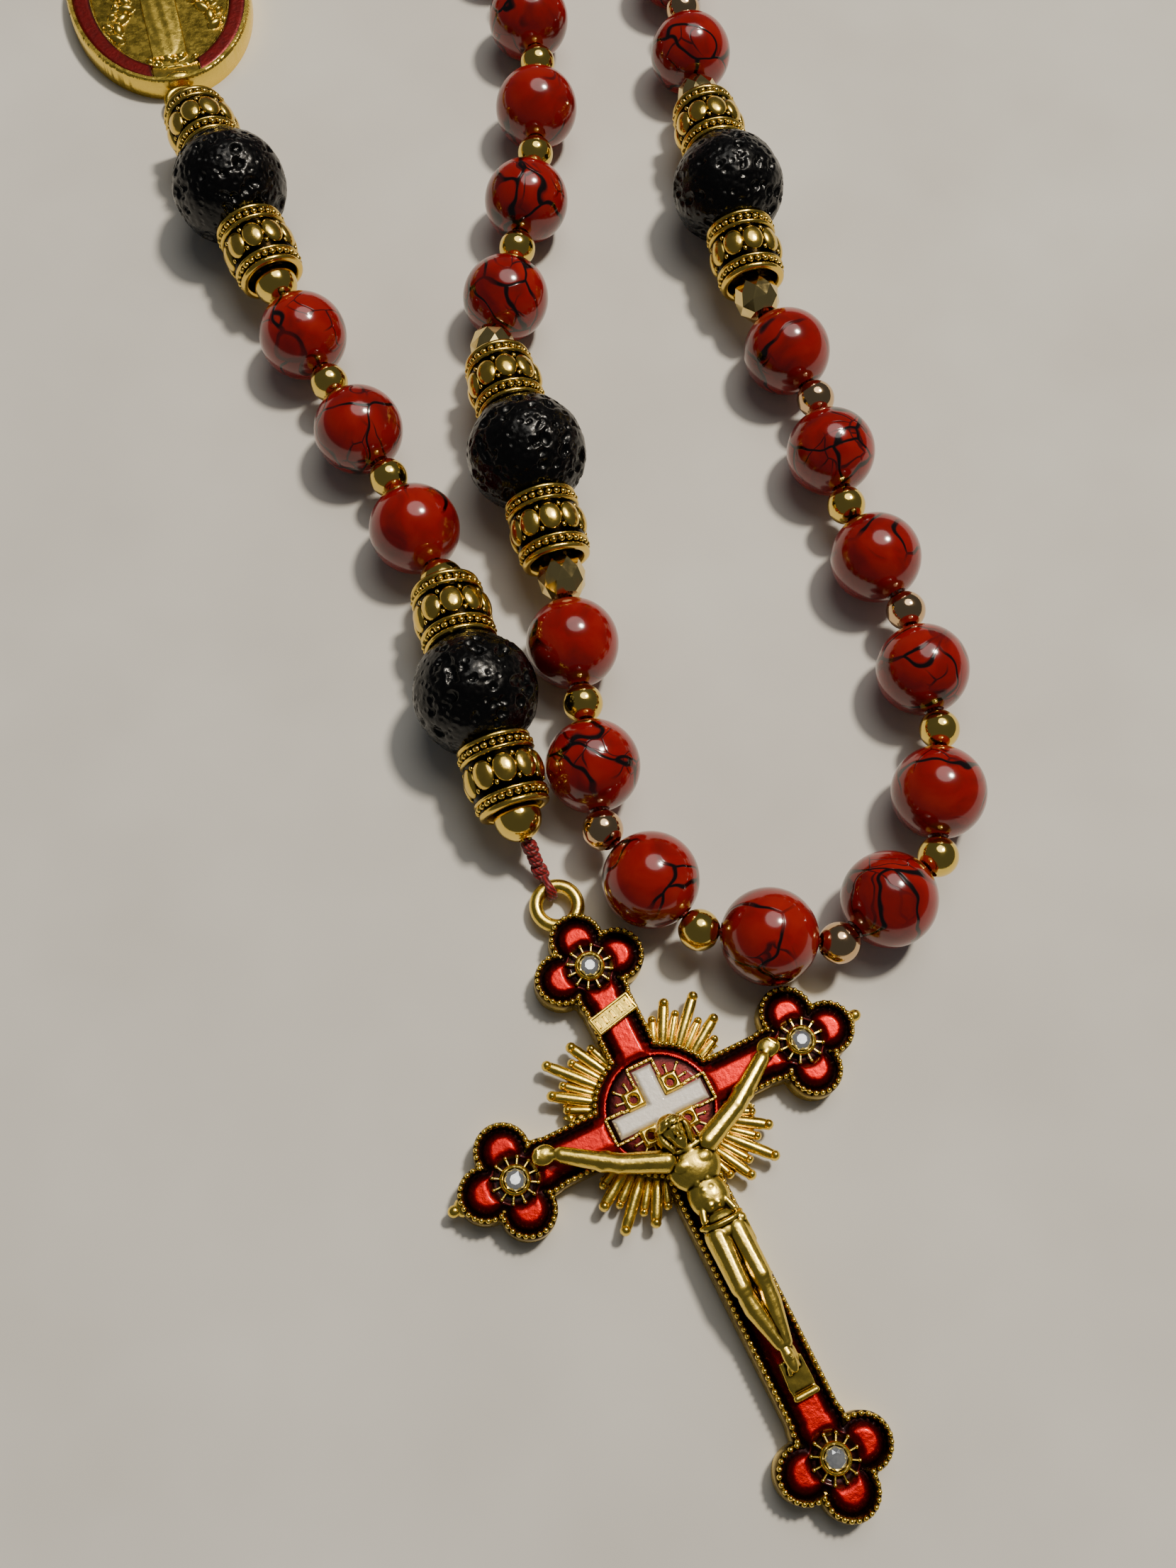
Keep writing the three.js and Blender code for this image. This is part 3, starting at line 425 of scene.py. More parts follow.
def waxedThread():
    # Polyester thread, twisted from two plies and waxed: soft sheen with fine slanted fibres, 0.12 mm apart.
    finish, tree, shader, inMm = startMaterial("waxedThread", "red_thread", {
        "Roughness": 0.5, "IOR": 1.5, "Sheen Weight": 0.3, "Sheen Roughness": 0.4})
    fibres = addNode(tree, "ShaderNodeTexWave", {"bands_direction": "DIAGONAL"},
                     {"Scale": 1.3, "Distortion": 2.5, "Detail": 2}, {"Vector": inMm})
    colour = addNode(tree, "ShaderNodeValToRGB", links={"Fac": fibres.outputs["Fac"]},
                     stops=[(0.1, "#4E070A"), (0.7, "#8E1318")])
    bump = addNode(tree, "ShaderNodeBump", {}, {"Strength": 0.5, "Distance": 0.00005},
                   {"Height": fibres.outputs["Fac"]})
    tree.links.new(colour.outputs["Color"], shader.inputs["Base Color"])
    tree.links.new(bump.outputs["Normal"], shader.inputs["Normal"])
    return finish


def firedEnamel(name, slotName, edge, middle, glow, metal, coat):
    # Glass enamel, fired over bright metal: near black where it is deep at the walls, glowing in the middle.
    finish, tree, shader, inMm = startMaterial(name, slotName, {
        "Metallic": metal, "Roughness": 0.38, "Coat Weight": coat, "Coat Roughness": 0.03})
    tone = addNode(tree, "ShaderNodeAttribute", {"attribute_name": "tone"})
    ripple = addNode(tree, "ShaderNodeTexNoise", {}, {"Scale": 2.6, "Detail": 4, "Roughness": 0.6},
                     {"Vector": inMm})
    spread = addNode(tree, "ShaderNodeMath", {"operation": "MULTIPLY_ADD"}, {1: 1.1, 2: -0.5},
                     {0: ripple.outputs["Fac"]})
    lively = addNode(tree, "ShaderNodeMath", {"operation": "MULTIPLY"}, {},
                     {0: spread.outputs[0], 1: tone.outputs["Fac"]})
    depth = addNode(tree, "ShaderNodeMath", {"operation": "ADD"}, {},
                    {0: lively.outputs[0], 1: tone.outputs["Fac"]})
    colour = addNode(tree, "ShaderNodeValToRGB", links={"Fac": depth.outputs[0]},
                     stops=[(0.12, edge), (0.55, middle), (0.98, glow)])
    under = addNode(tree, "ShaderNodeBump", {}, {"Strength": 0.35, "Distance": 0.00012},
                    {"Height": ripple.outputs["Fac"]})
    tree.links.new(colour.outputs["Color"], shader.inputs["Base Color"])
    tree.links.new(under.outputs["Normal"], shader.inputs["Normal"])
    return finish


def foilBackedCrystal():
    # Lead crystal, cut and backed with foil: each facet throws back one patch of light.
    finish, tree, shader, inMm = startMaterial("foilBackedCrystal", "crystal", {
        "Metallic": 0.85, "Roughness": 0.05, "Coat Weight": 1, "Coat IOR": 1.6, "Coat Roughness": 0.01})
    haze = addNode(tree, "ShaderNodeTexNoise", {}, {"Scale": 1.5}, {"Vector": inMm})
    colour = addNode(tree, "ShaderNodeValToRGB", links={"Fac": haze.outputs["Fac"]},
                     stops=[(0.3, "#C4C9D0"), (0.7, "#FAFBFC")])
    tree.links.new(colour.outputs["Color"], shader.inputs["Base Color"])
    return finish


redHowlite = polishedRedHowlite()
lavaStone = tumbledLavaStone()
polishedGold = platedGold("polishedGoldPlate", "gold", "#F3D268", "#6A4A12", 0.08, 0.16, 0.12)
champagneGold = platedGold("champagneGoldPlate", "gold", "#DDB98C", "#5E4630", 0.07, 0.14, 0.1)
cutGold = platedGold("diamondCutPaleGold", "pale_gold", "#EBD088", "#5A4A28", 0.08, 0.16, 0.08)
agedGold = platedGold("antiquedCastGold", "old_gold", "#EFCB60", "#0C0803", 0.14, 0.26, 0.3)
castGold = platedGold("castGoldPlate", "gold", "#F4D35E", "#3A2606", 0.2, 0.32, 0.35)
thread = waxedThread()
redEnamel = firedEnamel("firedRedEnamel", "red_enamel", "#180102", "#6A0202", "#A80803", 0.92, 0.12)
deepEnamel = firedEnamel("deepRedEnamel", "red_enamel", "#1A0203", "#4A0404", "#5E0505", 0.8, 0.05)
bandEnamel = firedEnamel("opaqueRedEnamel", "red_enamel", "#3A0304", "#6E0504", "#820A06", 0.6, 0.15)
whiteEnamel = firedEnamel("firedWhiteEnamel", "white_enamel", "#8E867C", "#D8D1C6", "#EDE8DF", 0, 0.8)
cutCrystal = foilBackedCrystal()
print("materials made")

# Beads, caps and spacers


def redBeadMesh():
    # Drilled ball: the hole's mouth is slightly countersunk
    settings = {"radius": layout["redRadius"], "hole": 0.55, "mouth": 0.85}
    start = math.acos(settings["mouth"] / settings["radius"])
    profile = [(settings["radius"] * math.cos(a), settings["radius"] * math.sin(a))
               for a in np.linspace(-start, start, 33)]
    inner = settings["radius"] - 0.45
    profile += [(settings["hole"], inner), (settings["hole"], -inner)]
    return buildMesh("redBead", [turned(profile, 56, closed=True)], redHowlite, sharpAngle=50)


def lavaBeadMesh(name, seed):
    # Ball with open pits pressed into it, many small and some wide
    settings = {"radius": layout["lavaRadius"], "hole": 0.75, "pits": 330, "smallest": 0.13, "largest": 0.6}
    dice = np.random.default_rng(seed)
    start = math.acos(settings["hole"] / settings["radius"])
    profile = [(settings["radius"] * math.cos(a), settings["radius"] * math.sin(a))
               for a in np.linspace(-start, start, 110)]
    points, faces, tone = turned(profile, 200, closed=False)
    unit = points / np.linalg.norm(points, axis=1)[:, None]
    depth = np.zeros(len(points))
    for i in range(settings["pits"]):
        axis = dice.normal(size=3)
        axis /= np.linalg.norm(axis)
        size = settings["smallest"] + (settings["largest"] - settings["smallest"]) * dice.random() ** 3
        across = np.cross(axis, dice.normal(size=3))
        across /= np.linalg.norm(across)
        stretch = 1 + 0.6 * dice.random()
        offset = (unit - axis) * settings["radius"]
        along = offset @ across
        distance = np.sqrt(np.maximum((offset ** 2).sum(1) - along ** 2, 0) + (along / stretch) ** 2) / size
        bowl = np.clip(1 - distance ** 2, 0, None)
        depth = np.maximum(depth, np.sqrt(bowl) * size * 0.75)
    swell = np.array([noise.noise(Vector(p * 0.5 + seed * 7.0)) for p in points]) * 0.12
    fine = np.array([noise.noise(Vector(p * 2.6 + seed * 3.0)) for p in points]) * 0.05
    points = unit * (settings["radius"] - 0.1 + swell + fine - depth)[:, None]
    # The pits are painted darker than the surface round them: painted shade
    tone = np.clip(0.85 - depth * 2.4, 0, 1)
    return buildMesh(name, [(points, faces, tone)], lavaStone)


def spacerMesh(name, radius, finish):
    # Seamless hollow ball with a drilled hole
    start = math.acos(0.55 / radius)
    profile = [(radius * math.cos(a), radius * math.sin(a)) for a in np.linspace(-start, start, 21)]
    profile += [(0.5, radius - 0.3), (0.5, 0.3 - radius)]
    return buildMesh(name, [turned(profile, 36, closed=True)], finish, sharpAngle=50)


def facetedMesh():
    # Barrel cut into rows of diamonds: each ring of corners is turned half a step from the next
    settings = {"corners": 9, "hole": 0.6,
                "rings": [(1.3, -2), (1.95, -1.05), (2.15, 0), (1.95, 1.05), (1.3, 2)]}
    count = settings["corners"]
    points, faces = [], []
    for row, (radius, height) in enumerate(settings["rings"]):
        for k in range(count):
            angle = 2 * math.pi * (k + 0.5 * (row % 2)) / count
            points.append((radius * math.cos(angle), radius * math.sin(angle), height))
    for row in range(len(settings["rings"]) - 1):
        low, high = row * count, (row + 1) * count
        for k in range(count):
            n = (k + 1) % count
            if row % 2:
                faces.append((low + k, high + n, high + k))
                faces.append((low + k, low + n, high + n))
            else:
                faces.append((low + k, low + n, high + k))
                faces.append((low + n, high + n, high + k))
    top = (len(settings["rings"]) - 1) * count
    bore = len(points)
    for height in (-2, 2):
        for k in range(count):
            angle = 2 * math.pi * k / count
            points.append((settings["hole"] * math.cos(angle), settings["hole"] * math.sin(angle), height))
    for k in range(count):
        n = (k + 1) % count
        faces.append((k, bore + k, bore + n, n))
        faces.append((top + k, top + n, bore + count + n, bore + count + k))
        faces.append((bore + k, bore + count + k, bore + count + n, bore + n))
    part = (np.array(points), faces, np.full(len(points), 0.75))
    return buildMesh("facetedSpacer", [part], cutGold, smooth=False)


def capMesh():
    # Cast barrel: thin flanges, two rows of small beads, and a belt of oval bosses on a dark ground
    settings = {"half": 3.1, "bosses": 10, "rowBeads": 26, "boss": (0.52, 1.02, 1.28),
                "rowBead": (0.3, 0.34, 0.26)}
    half = settings["half"]
    profile = [
        (0.8, -1.95, 0.1), (2.3, -2.3, 0.2), (2.75, -half + 0.02, 0.6), (2.95, -half, 1),
        (3.16, -half + 0.08, 1), (3.2, -half + 0.24, 1), (3.14, -half + 0.4, 0.5), (2.92, -half + 0.5, 0),
        (3.0, -half + 0.62, 0), (3.0, -half + 1.05, 0), (2.98, -half + 1.12, 0.1),
        (3.22, -half + 1.22, 0.9), (3.26, -half + 1.34, 1),
        (3.18, -half + 1.46, 0.6), (2.98, -half + 1.56, 0), (3.08, -half + 2.2, 0.05), (3.1, 0.05, 0.05),
        (3.06, half - 2.1, 0.05), (2.94, half - 1.5, 0), (3.12, half - 1.42, 0.6), (3.18, half - 1.3, 1),
        (3.12, half - 1.18, 0.9), (2.88, half - 1.08, 0.1), (2.88, half - 0.66, 0), (2.82, half - 0.56, 0),
        (3.0, half - 0.44, 0.5), (3.04, half - 0.28, 1), (2.98, half - 0.1, 1), (2.8, half, 1),
        (2.5, half, 0.8), (2.36, half - 0.2, 0.4), (2.28, 1.6, 0.1), (0.8, 1.5, 0.1),
    ]
    parts = [turned([(r, z) for r, z, t in profile], 72, closed=True, tones=[t for r, z, t in profile])]
    for k in range(settings["bosses"]):
        angle = 2 * math.pi * k / settings["bosses"]
        boss = ball((0, 0, 0), settings["boss"], 18, 12, tone=1)
        tone = np.clip(0.1 + 1.3 * boss[0][:, 0] / settings["boss"][0], 0, 1)
        place = Matrix.Rotation(angle, 4, "Z") @ Matrix.Translation((2.98, 0, -0.02))
        parts.append(moved((boss[0], boss[1], tone), place))
        seam = Matrix.Rotation(angle + math.pi / settings["bosses"], 4, "Z")
        for height in (-1.0, 1.0):
            stud = ball((3.12, 0, height), (0.16, 0.2, 0.24), 8, 6, tone=0.8)
            parts.append(moved(stud, seam))
    for k in range(settings["rowBeads"]):
        angle = 2 * math.pi * k / settings["rowBeads"]
        for radius, height in ((3.04, -half + 0.83), (2.92, half - 0.87)):
            bead = ball((0, 0, 0), settings["rowBead"], 8, 6, tone=1)
            tone = np.clip(0.25 + 1.1 * bead[0][:, 0] / settings["rowBead"][0], 0, 1)
            place = Matrix.Rotation(angle, 4, "Z") @ Matrix.Translation((radius, 0, height))
            parts.append(moved((bead[0], bead[1], tone), place))
    return buildMesh("beadCap", parts, agedGold, sharpAngle=60)


redMesh = redBeadMesh()
lavaMeshes = [lavaBeadMesh("lavaBead%d" % i, i + 3) for i in range(3)]
goldSpacer = spacerMesh("goldSpacer", layout["spacerRadius"], polishedGold)
champagneSpacer = spacerMesh("champagneSpacer", layout["spacerRadius"], champagneGold)
endSpacer = spacerMesh("endSpacer", layout["endSpacerRadius"], polishedGold)
facetedSpacer = facetedMesh()
capShape = capMesh()
print("bead meshes made")


def anyTurn():
    # Pieces sit at any turn round the string
    return random.uniform(0, 6.28)


def placeRed(name, start, end, distance, body, nodes):
    centre = raised(between(start, end, distance), layout["redHeight"])
    addPiece(name, redMesh, body, nodes, onString(centre, end - start, anyTurn()))


def placeSpacer(name, place, before, after, body, nodes=()):
    champagne = random.random() < 0.3
    mesh, finish = (champagneSpacer, champagneGold) if champagne else (goldSpacer, polishedGold)
    addPiece(name, mesh, body, nodes, onString(place, after - before))


def placeLavaSection(name, lava, near, far, body, lavaBody, nodes, lavaNodes, meshIndex):
    # A lava bead between two caps; near and far are the next points of the string
    addPiece(name + "_stone", lavaMeshes[meshIndex], lavaBody, lavaNodes,
             onString(lava, far - near, anyTurn()))
    for i, (end, capNodes) in enumerate(zip((near, far), nodes)):
        addPiece("%s_cap_%d" % (name, i + 1), capShape, body, capNodes,
                 onString(between(lava, end, layout["lavaToCap"]), end - lava, anyTurn()))


def placeFaceted(name, place, before, after, body, nodes):
    way = (place - before).normalized() + (after - place).normalized()
    addPiece(name, facetedSpacer, body, nodes, onString(place, way, anyTurn()))


# The loop

medalPlace = {"centre": (-44.1, 85.2), "turn": 15, "ring": (0, -13.7), "ear": (6.2, 11.3), "ringHeight": 1.2,
              "ringRadius": 1.5, "ringWire": 0.4}
medalTurn = Matrix.Rotation(math.radians(medalPlace["turn"]), 3, "Z")


def medalPoint(x, y, z):
    return Vector((*medalPlace["centre"], 0)) + medalTurn @ Vector((x, y, 0)) + Vector((0, 0, z))


# From one lava section of a side to the next, counted in spacers
sectionStep = layout["highLinks"] + 3

earX, earY = medalPlace["ear"]
rightEar = medalPoint(earX, earY + medalPlace["ringRadius"], medalPlace["ringHeight"])
leftEar = medalPoint(-earX, earY + medalPlace["ringRadius"], medalPlace["ringHeight"])

# The spacers that the loop folds at, counted up each side from the bottom of the loop
folds = {"lower": 3, "upper": 8}
leftRedNodes = {0: "decade_bead_4", 1: "decade_bead_3", 2: "decade_bead_2", 3: "decade_bead_1",
                5: "left_leg_bead_1", 6: "left_leg_bead_2", 7: "left_leg_bead_3", 8: "left_leg_bead_4"}
rightRedNodes = {0: "decade_bead_5", 1: "decade_bead_6", 2: "decade_bead_7", 3: "decade_bead_8",
                 4: "decade_bead_9", 5: "decade_bead_10", 7: "right_leg_bead_1", 8: "right_leg_bead_2"}


def bodyAt(index):
    # The body that a stretch of a side rides on, from the spacer it starts at
    if index < folds["lower"]:
        return "lower_loop"
    return "middle_loop" if index < folds["upper"] else "upper_loop"


def spacerNode(name, index, near):
    # The CAD node that a round spacer is part of
    if index < folds["lower"]:
        return "string_loop_bottom"
    if index < folds["upper"]:
        return "string_%s_leg" % name
    if index < near + sectionStep:
        return "left_second_decade" if name == "left" else "right_fourth_decade"
    return "first_decade" if name == "left" else "fifth_decade"


def layLoopSide(name, side, near, ear, redNodes):
    far = near + sectionStep
    farSection = name + "_far_section"
    stops = side + [ear]
    count = 0
    for i in range(len(side)):
        start, end = stops[i], stops[i + 1]
        body = bodyAt(i)
        if i in (near, far):
            lava = raised((start + end) / 2, layout["lavaHeight"])
            if i == near:
                first = 1 if name == "left" else 3
                capNodes = [("loop_cap_%d" % first,), ("loop_cap_%d" % (first + 1),)]
                placeLavaSection("loop_lava_" + name, lava, start, end, body, "loop_lava_" + name, capNodes,
                                 ("loop_lava_" + name,), 0 if name == "left" else 1)
                facetedNodes = [("faceted_spacer_%d" % first,), ("faceted_spacer_%d" % (first + 1),)]
            else:
                capNodes = facetedNodes = [(farSection,), (farSection,)]
                placeLavaSection("far_lava_" + name, lava, start, end, body, body, capNodes, (farSection,), 2)
            placeFaceted("faceted_%s_%d" % (name, i), start, stops[i - 1], lava, body, facetedNodes[0])
            placeFaceted("faceted_%s_%d" % (name, i + 1), end, lava, stops[i + 2], body, facetedNodes[1])
            continue
        if i and i not in (near + 1, far + 1):
            placeSpacer("spacer_%s_%d" % (name, i), start, stops[i - 1], end, body,
                        (spacerNode(name, i, near),))
        node = redNodes.get(i)
        redBody = node if node in frame["bodies"] else body
        count += 1
        afterLava = i in (near + 1, far + 1)
        distance = layout["redToFaceted"] if afterLava else layout["spacerPitch"] / 2
        placeRed("red_%s_%d" % (name, count), start, end, distance, redBody,
                 (node or spacerNode(name, i, near),))


layLoopSide("left", leftSide, leftNear, rightEar, leftRedNodes)
layLoopSide("right", rightSide, rightNear, leftEar, rightRedNodes)
placeSpacer("spacer_bottom", anchorSpacer, leftSide[1], rightSide[1], "lower_loop", ("string_loop_bottom",))
print("loop laid")

# The string and the thread

threadSizes = {"string": 0.36, "ply": 0.27, "plyOffset": 0.21, "twistLength": 1.5, "knot": 0.62,
               "knotWire": 0.25}


def stringPart(points, trimStart=0.0, trimEnd=0.0):
    # Plain string inside the beads, where hardly any of it shows
    line = [Vector(p) for p in points]
    line[0] = between(line[0], line[1], trimStart) if trimStart else line[0]
    line[-1] = between(line[-1], line[-2], trimEnd) if trimEnd else line[-1]
    return tube(line, threadSizes["string"], 8)


def twistedPart(points):
    # Two plies wound round each other
    line, gap = [], 0.16
    for a, b in zip(points, points[1:]):
        steps = max(1, int((b - a).length / gap))
        line += [a.lerp(b, k / steps) for k in range(steps)]
    line.append(points[-1])
    along = (points[-1] - points[0]).normalized()
    side = along.cross(Vector((0, 0, 1))).normalized()
    up = side.cross(along)
    plies = []
    for start in (0, math.pi):
        travelled, wound = 0.0, []
        for k, p in enumerate(line):
            travelled += (p - line[k - 1]).length if k else 0
            angle = start + 2 * math.pi * travelled / threadSizes["twistLength"]
            wound.append(p + (side * math.cos(angle) + up * math.sin(angle)) * threadSizes["plyOffset"])
        plies.append(tube(wound, threadSizes["ply"], 8))
    return plies


def knotPart(centre, along, size=1.0):
    # A pulled-tight knot: three slanted turns over a small core
    along = along.normalized()
    turn = Vector((0, 0, 1)).rotation_difference(along).to_matrix()
    parts = [ball(centre, threadSizes["knot"] * 0.72 * size, 12, 8)]
    for lean, shift in ((0.5, -0.22), (-0.5, 0.0), (0.45, 0.24)):
        tilt = turn @ Matrix.Rotation(lean, 3, "X")
        parts.append(ringPart(centre + along * shift * size, threadSizes["knot"] * 0.72 * size,
                              threadSizes["knotWire"] * size, 18, 7, tilt=tilt))
    return parts


def tiePart(centre, direction, inner, turns, wire=0.24):
    # Turns of thread round the wire of a ring, fanned slightly apart along the wire
    up = Vector((0, 0, 1))
    parts = []
    for k in range(turns):
        lean = (k - (turns - 1) / 2) * 0.32
        forward = Matrix.Rotation(lean, 3, "Z") @ Vector((direction.x, direction.y, 0)).normalized()
        side = forward.cross(up)
        line = []
        for step in range(20):
            angle = 2 * math.pi * step / 20
            line.append(centre + (forward * math.cos(angle) + up * math.sin(angle)) * (inner + wire)
                        + side * 0.1 * (k - (turns - 1) / 2))
        parts.append(tube(line, wire, 7, closed=True))
    return parts


def addThread(name, parts, body, nodes):
    shifted = [(points + np.array(layoutShift), faces, tone) for points, faces, tone in parts]
    addPiece(name, buildMesh(name, shifted, thread), body, nodes)


def sidePoints(side, near, first, last):
    points = []
    for i in range(first, last + 1):
        points.append(side[i])
        if i in (near, near + sectionStep) and i < last:
            points.append(raised((side[i] + side[i + 1]) / 2, layout["lavaHeight"]))
    return points


# A length of string ends inside a spacer's hole, so far from its middle in mm, and the next length takes over
insideSpacer, insideEndSpacer = 1.4, 1.6
lowerPoints = list(reversed(leftSide[:folds["lower"] + 1])) + rightSide[1:folds["lower"] + 1]
addThread("string_bottom", [stringPart(lowerPoints, insideSpacer, insideSpacer)], "lower_loop",
          ("string_loop_bottom",))
for name, side, near in (("left", leftSide, leftNear), ("right", rightSide, rightNear)):
    leg = stringPart(sidePoints(side, near, folds["lower"], folds["upper"]), 0, insideSpacer)
    addThread("string_" + name, [leg], "middle_loop", ("string_%s_leg" % name,))
for name, side, near, ear in (("left", leftSide, leftNear, rightEar),
                              ("right", rightSide, rightNear, leftEar)):
    upDirection = medalTurn @ Vector((0, 1, 0))
    knot = ear + upDirection * (medalPlace["ringWire"] + 0.55)
    exitPoint = between(side[-1], knot, layout["spacerPitch"] / 2 + layout["redRadius"] - 0.5)
    parts = [stringPart(sidePoints(side, near, folds["upper"], len(side) - 1) + [exitPoint])]
    parts += twistedPart([exitPoint, knot])
    parts += tiePart(ear, upDirection, medalPlace["ringWire"] + 0.05, 2)
    parts += knotPart(exitPoint.lerp(knot, 0.8), knot - exitPoint)
    node = "first_decade" if name == "left" else "fifth_decade"
    addThread("string_upper_" + name, parts, "upper_loop", (node,))

# The pendant strand

medalRing = medalPoint(*medalPlace["ring"], medalPlace["ringHeight"])
ringToStrand = (raised(upperThreadExit, medalRing.z) - medalRing).normalized()
medalTie = medalRing + ringToStrand * medalPlace["ringRadius"]
crossPlace = {"centre": (5.6, -28.1), "turn": 26.1, "ring": (0, 18.7), "ringHeight": 1.25, "ringRadius": 1.72,
              "ringWire": 0.58}
crossTurn = Matrix.Rotation(math.radians(crossPlace["turn"]), 3, "Z")
crossUp = crossTurn @ Vector((0, 1, 0))
crossCentre = Vector((*crossPlace["centre"], 0))
crossRing = crossCentre + crossTurn @ Vector((*crossPlace["ring"], crossPlace["ringHeight"]))
crossTie = crossRing + crossUp * crossPlace["ringRadius"]

placeLavaSection("pendant_lava_upper", upperLava, upperThreadExit, upperEndSpacer, "pendant_upper",
                 "pendant_lava_upper", [("pendant_cap_1",), ("pendant_cap_2",)], ("pendant_lava_upper",), 1)
placeLavaSection("pendant_lava_lower", lowerLava, lowerEndSpacer, lastSpacer, "pendant_lower",
                 "pendant_lava_lower", [("pendant_cap_3",), ("pendant_cap_4",)], ("pendant_lava_lower",), 0)

# The spacers where the strand bends, from the medal down to the crucifix
strand = [upperEndSpacer, upperSpacer, lowerSpacer, lowerEndSpacer]
for i, (start, end) in enumerate(zip(strand, strand[1:]), 1):
    bead = "pendant_bead_%d" % i
    distance = layout["endSpacerToRed"] if i == 1 else layout["spacerPitch"] / 2
    placeRed("pendant_red_%d" % i, start, end, distance, bead, (bead,))
for i in (1, 2):
    placeSpacer("pendant_spacer_%d" % i, strand[i], strand[i - 1], strand[i + 1], "pendant_link_%d" % i,
                ("string_pendant_%d" % i,))
endSpacers = (("upper", upperEndSpacer, upperLava, "pendant_upper", "thread_upper"),
              ("lower", lowerEndSpacer, lowerLava, "pendant_link_3", "string_pendant_3"),
              ("last", lastSpacer, lowerLava, "pendant_lower", "thread_lower"))
for name, place, lava, body, node in endSpacers:
    addPiece("pendant_end_" + name, endSpacer, body, (node,), onString(place, place - lava))
for i, (start, end) in enumerate(zip(strand, strand[1:]), 1):
    trim = insideEndSpacer if i == 1 else insideSpacer
    addThread("string_link_%d" % i, [stringPart([start, end], trim)], "pendant_link_%d" % i,
              ("string_pendant_%d" % i,))


def addUpperThread():
    start = medalTie + ringToStrand * (medalPlace["ringWire"] + 0.5)
    outside = between(upperThreadExit, start, -0.4)
    parts = [stringPart([outside, upperLava, upperEndSpacer])]
    parts += twistedPart([start, outside])
    parts += tiePart(medalTie, ringToStrand, medalPlace["ringWire"] + 0.05, 3, 0.27)
    parts += knotPart(start.lerp(outside, 0.45), outside - start, 1.35)
    addThread("thread_to_medal", parts, "pendant_upper", ("thread_upper",))


def addLowerThread():
    start = between(lastSpacer, crossTie, 1.5)
    end = crossTie + crossUp * (crossPlace["ringWire"] + 0.55)
    parts = [stringPart([lowerEndSpacer, lowerLava, lastSpacer], insideEndSpacer)]
    parts += twistedPart([start, end])
    parts += tiePart(crossTie, crossUp, crossPlace["ringWire"] + 0.04, 2, 0.27)
    for share, size in ((0.3, 1.0), (0.58, 0.9), (0.88, 1.05)):
        parts += knotPart(start.lerp(end, share), end - start, size)
    addThread("thread_to_crucifix", parts, "pendant_lower", ("thread_lower",))


addUpperThread()
addLowerThread()
print("pendant strand laid")

# Flat castings: plates whose height is a formula of the place seen from above


def boxDistance(x, y, cx, cy, halfX, halfY):
    qx, qy = np.abs(x - cx) - halfX, np.abs(y - cy) - halfY
    return np.hypot(np.maximum(qx, 0), np.maximum(qy, 0)) + np.minimum(np.maximum(qx, qy), 0)


def ovalDistance(x, y, a, b):
    near, slope = np.hypot(x / a, y / b), np.hypot(x / a ** 2, y / b ** 2)
    return near * (near - 1) / np.maximum(slope, 1e-6)


def reliefPart(distance, extent, step, lines, height, top=0.0, bottom=None, toneOf=None):
    # A plate seen from above: its edge is the line where distance equals top, and height gives z.
    # Grid points close to one of the lines are moved onto it, so that edges stay crisp.
    x0, x1, y0, y1 = extent
    X, Y = np.meshgrid(np.arange(x0, x1 + step, step), np.arange(y0, y1 + step, step))
    D, e = distance(X, Y), 1e-3
    gx = (distance(X + e, Y) - distance(X - e, Y)) / (2 * e)
    gy = (distance(X, Y + e) - distance(X, Y - e)) / (2 * e)
    size = np.maximum(np.hypot(gx, gy), 1e-6)
    gx, gy = gx / size, gy / size
    for line in list(lines) + [top]:
        close = np.abs(D - line) < 0.6 * step
        X = np.where(close, X - (D - line) * gx, X)
        Y = np.where(close, Y - (D - line) * gy, Y)
        D = np.where(close, line, D)
    keep = D <= top + 1e-6
    order = -np.ones(keep.shape, int)
    order[keep] = np.arange(keep.sum())
    z = height(X[keep], Y[keep], D[keep])
    points = np.stack([X[keep], Y[keep], z], 1)
    tone = toneOf(X[keep], Y[keep], D[keep]) if toneOf else np.full(len(points), 0.75)
    a, b, c, d = order[:-1, :-1], order[:-1, 1:], order[1:, 1:], order[1:, :-1]
    corners = np.stack([a, b, c, d], -1).reshape(-1, 4)
    held = (corners >= 0).sum(1)
    faces = [tuple(f) for f in corners[held == 4].tolist()]
    faces += [tuple(i for i in f if i >= 0) for f in corners[held == 3].tolist()]
    if bottom is None:
        return points, faces, tone
    uses = {}
    for face in faces:
        for i, j in zip(face, face[1:] + face[:1]):
            uses[(i, j)] = True
    count = len(points)
    under = points.copy()
    under[:, 2] = bottom
    walls = [(j, i, i + count, j + count) for i, j in uses if (j, i) not in uses]
    base = [tuple(i + count for i in reversed(face)) for face in faces]
    points = np.concatenate([points, under])
    # Walls and underside get tone 0.6, a little darker than the top's default 0.75: painted shade on the
    # sides
    return points, faces + walls + base, np.concatenate([tone, np.full(count, 0.6)])


def outline(distance, start, level, step=0.03):
    # Walks once round the line where distance equals level
    def slope(p):
        e = 1e-3
        g = np.array([distance(p[0] + e, p[1]) - distance(p[0] - e, p[1]),
                      distance(p[0], p[1] + e) - distance(p[0], p[1] - e)]) / (2 * e)
        return g / max(np.linalg.norm(g), 1e-6)

    p = np.array(start, float)
    for i in range(40):
        p = p - (distance(p[0], p[1]) - level) * slope(p)
    first, line = p.copy(), [p.copy()]
    for i in range(20000):
        g = slope(p)
        p = p + np.array([-g[1], g[0]]) * step
        for again in range(2):
            p = p - (distance(p[0], p[1]) - level) * slope(p)
        line.append(p.copy())
        if i > 50 and np.linalg.norm(p - first) < step:
            break
    return line


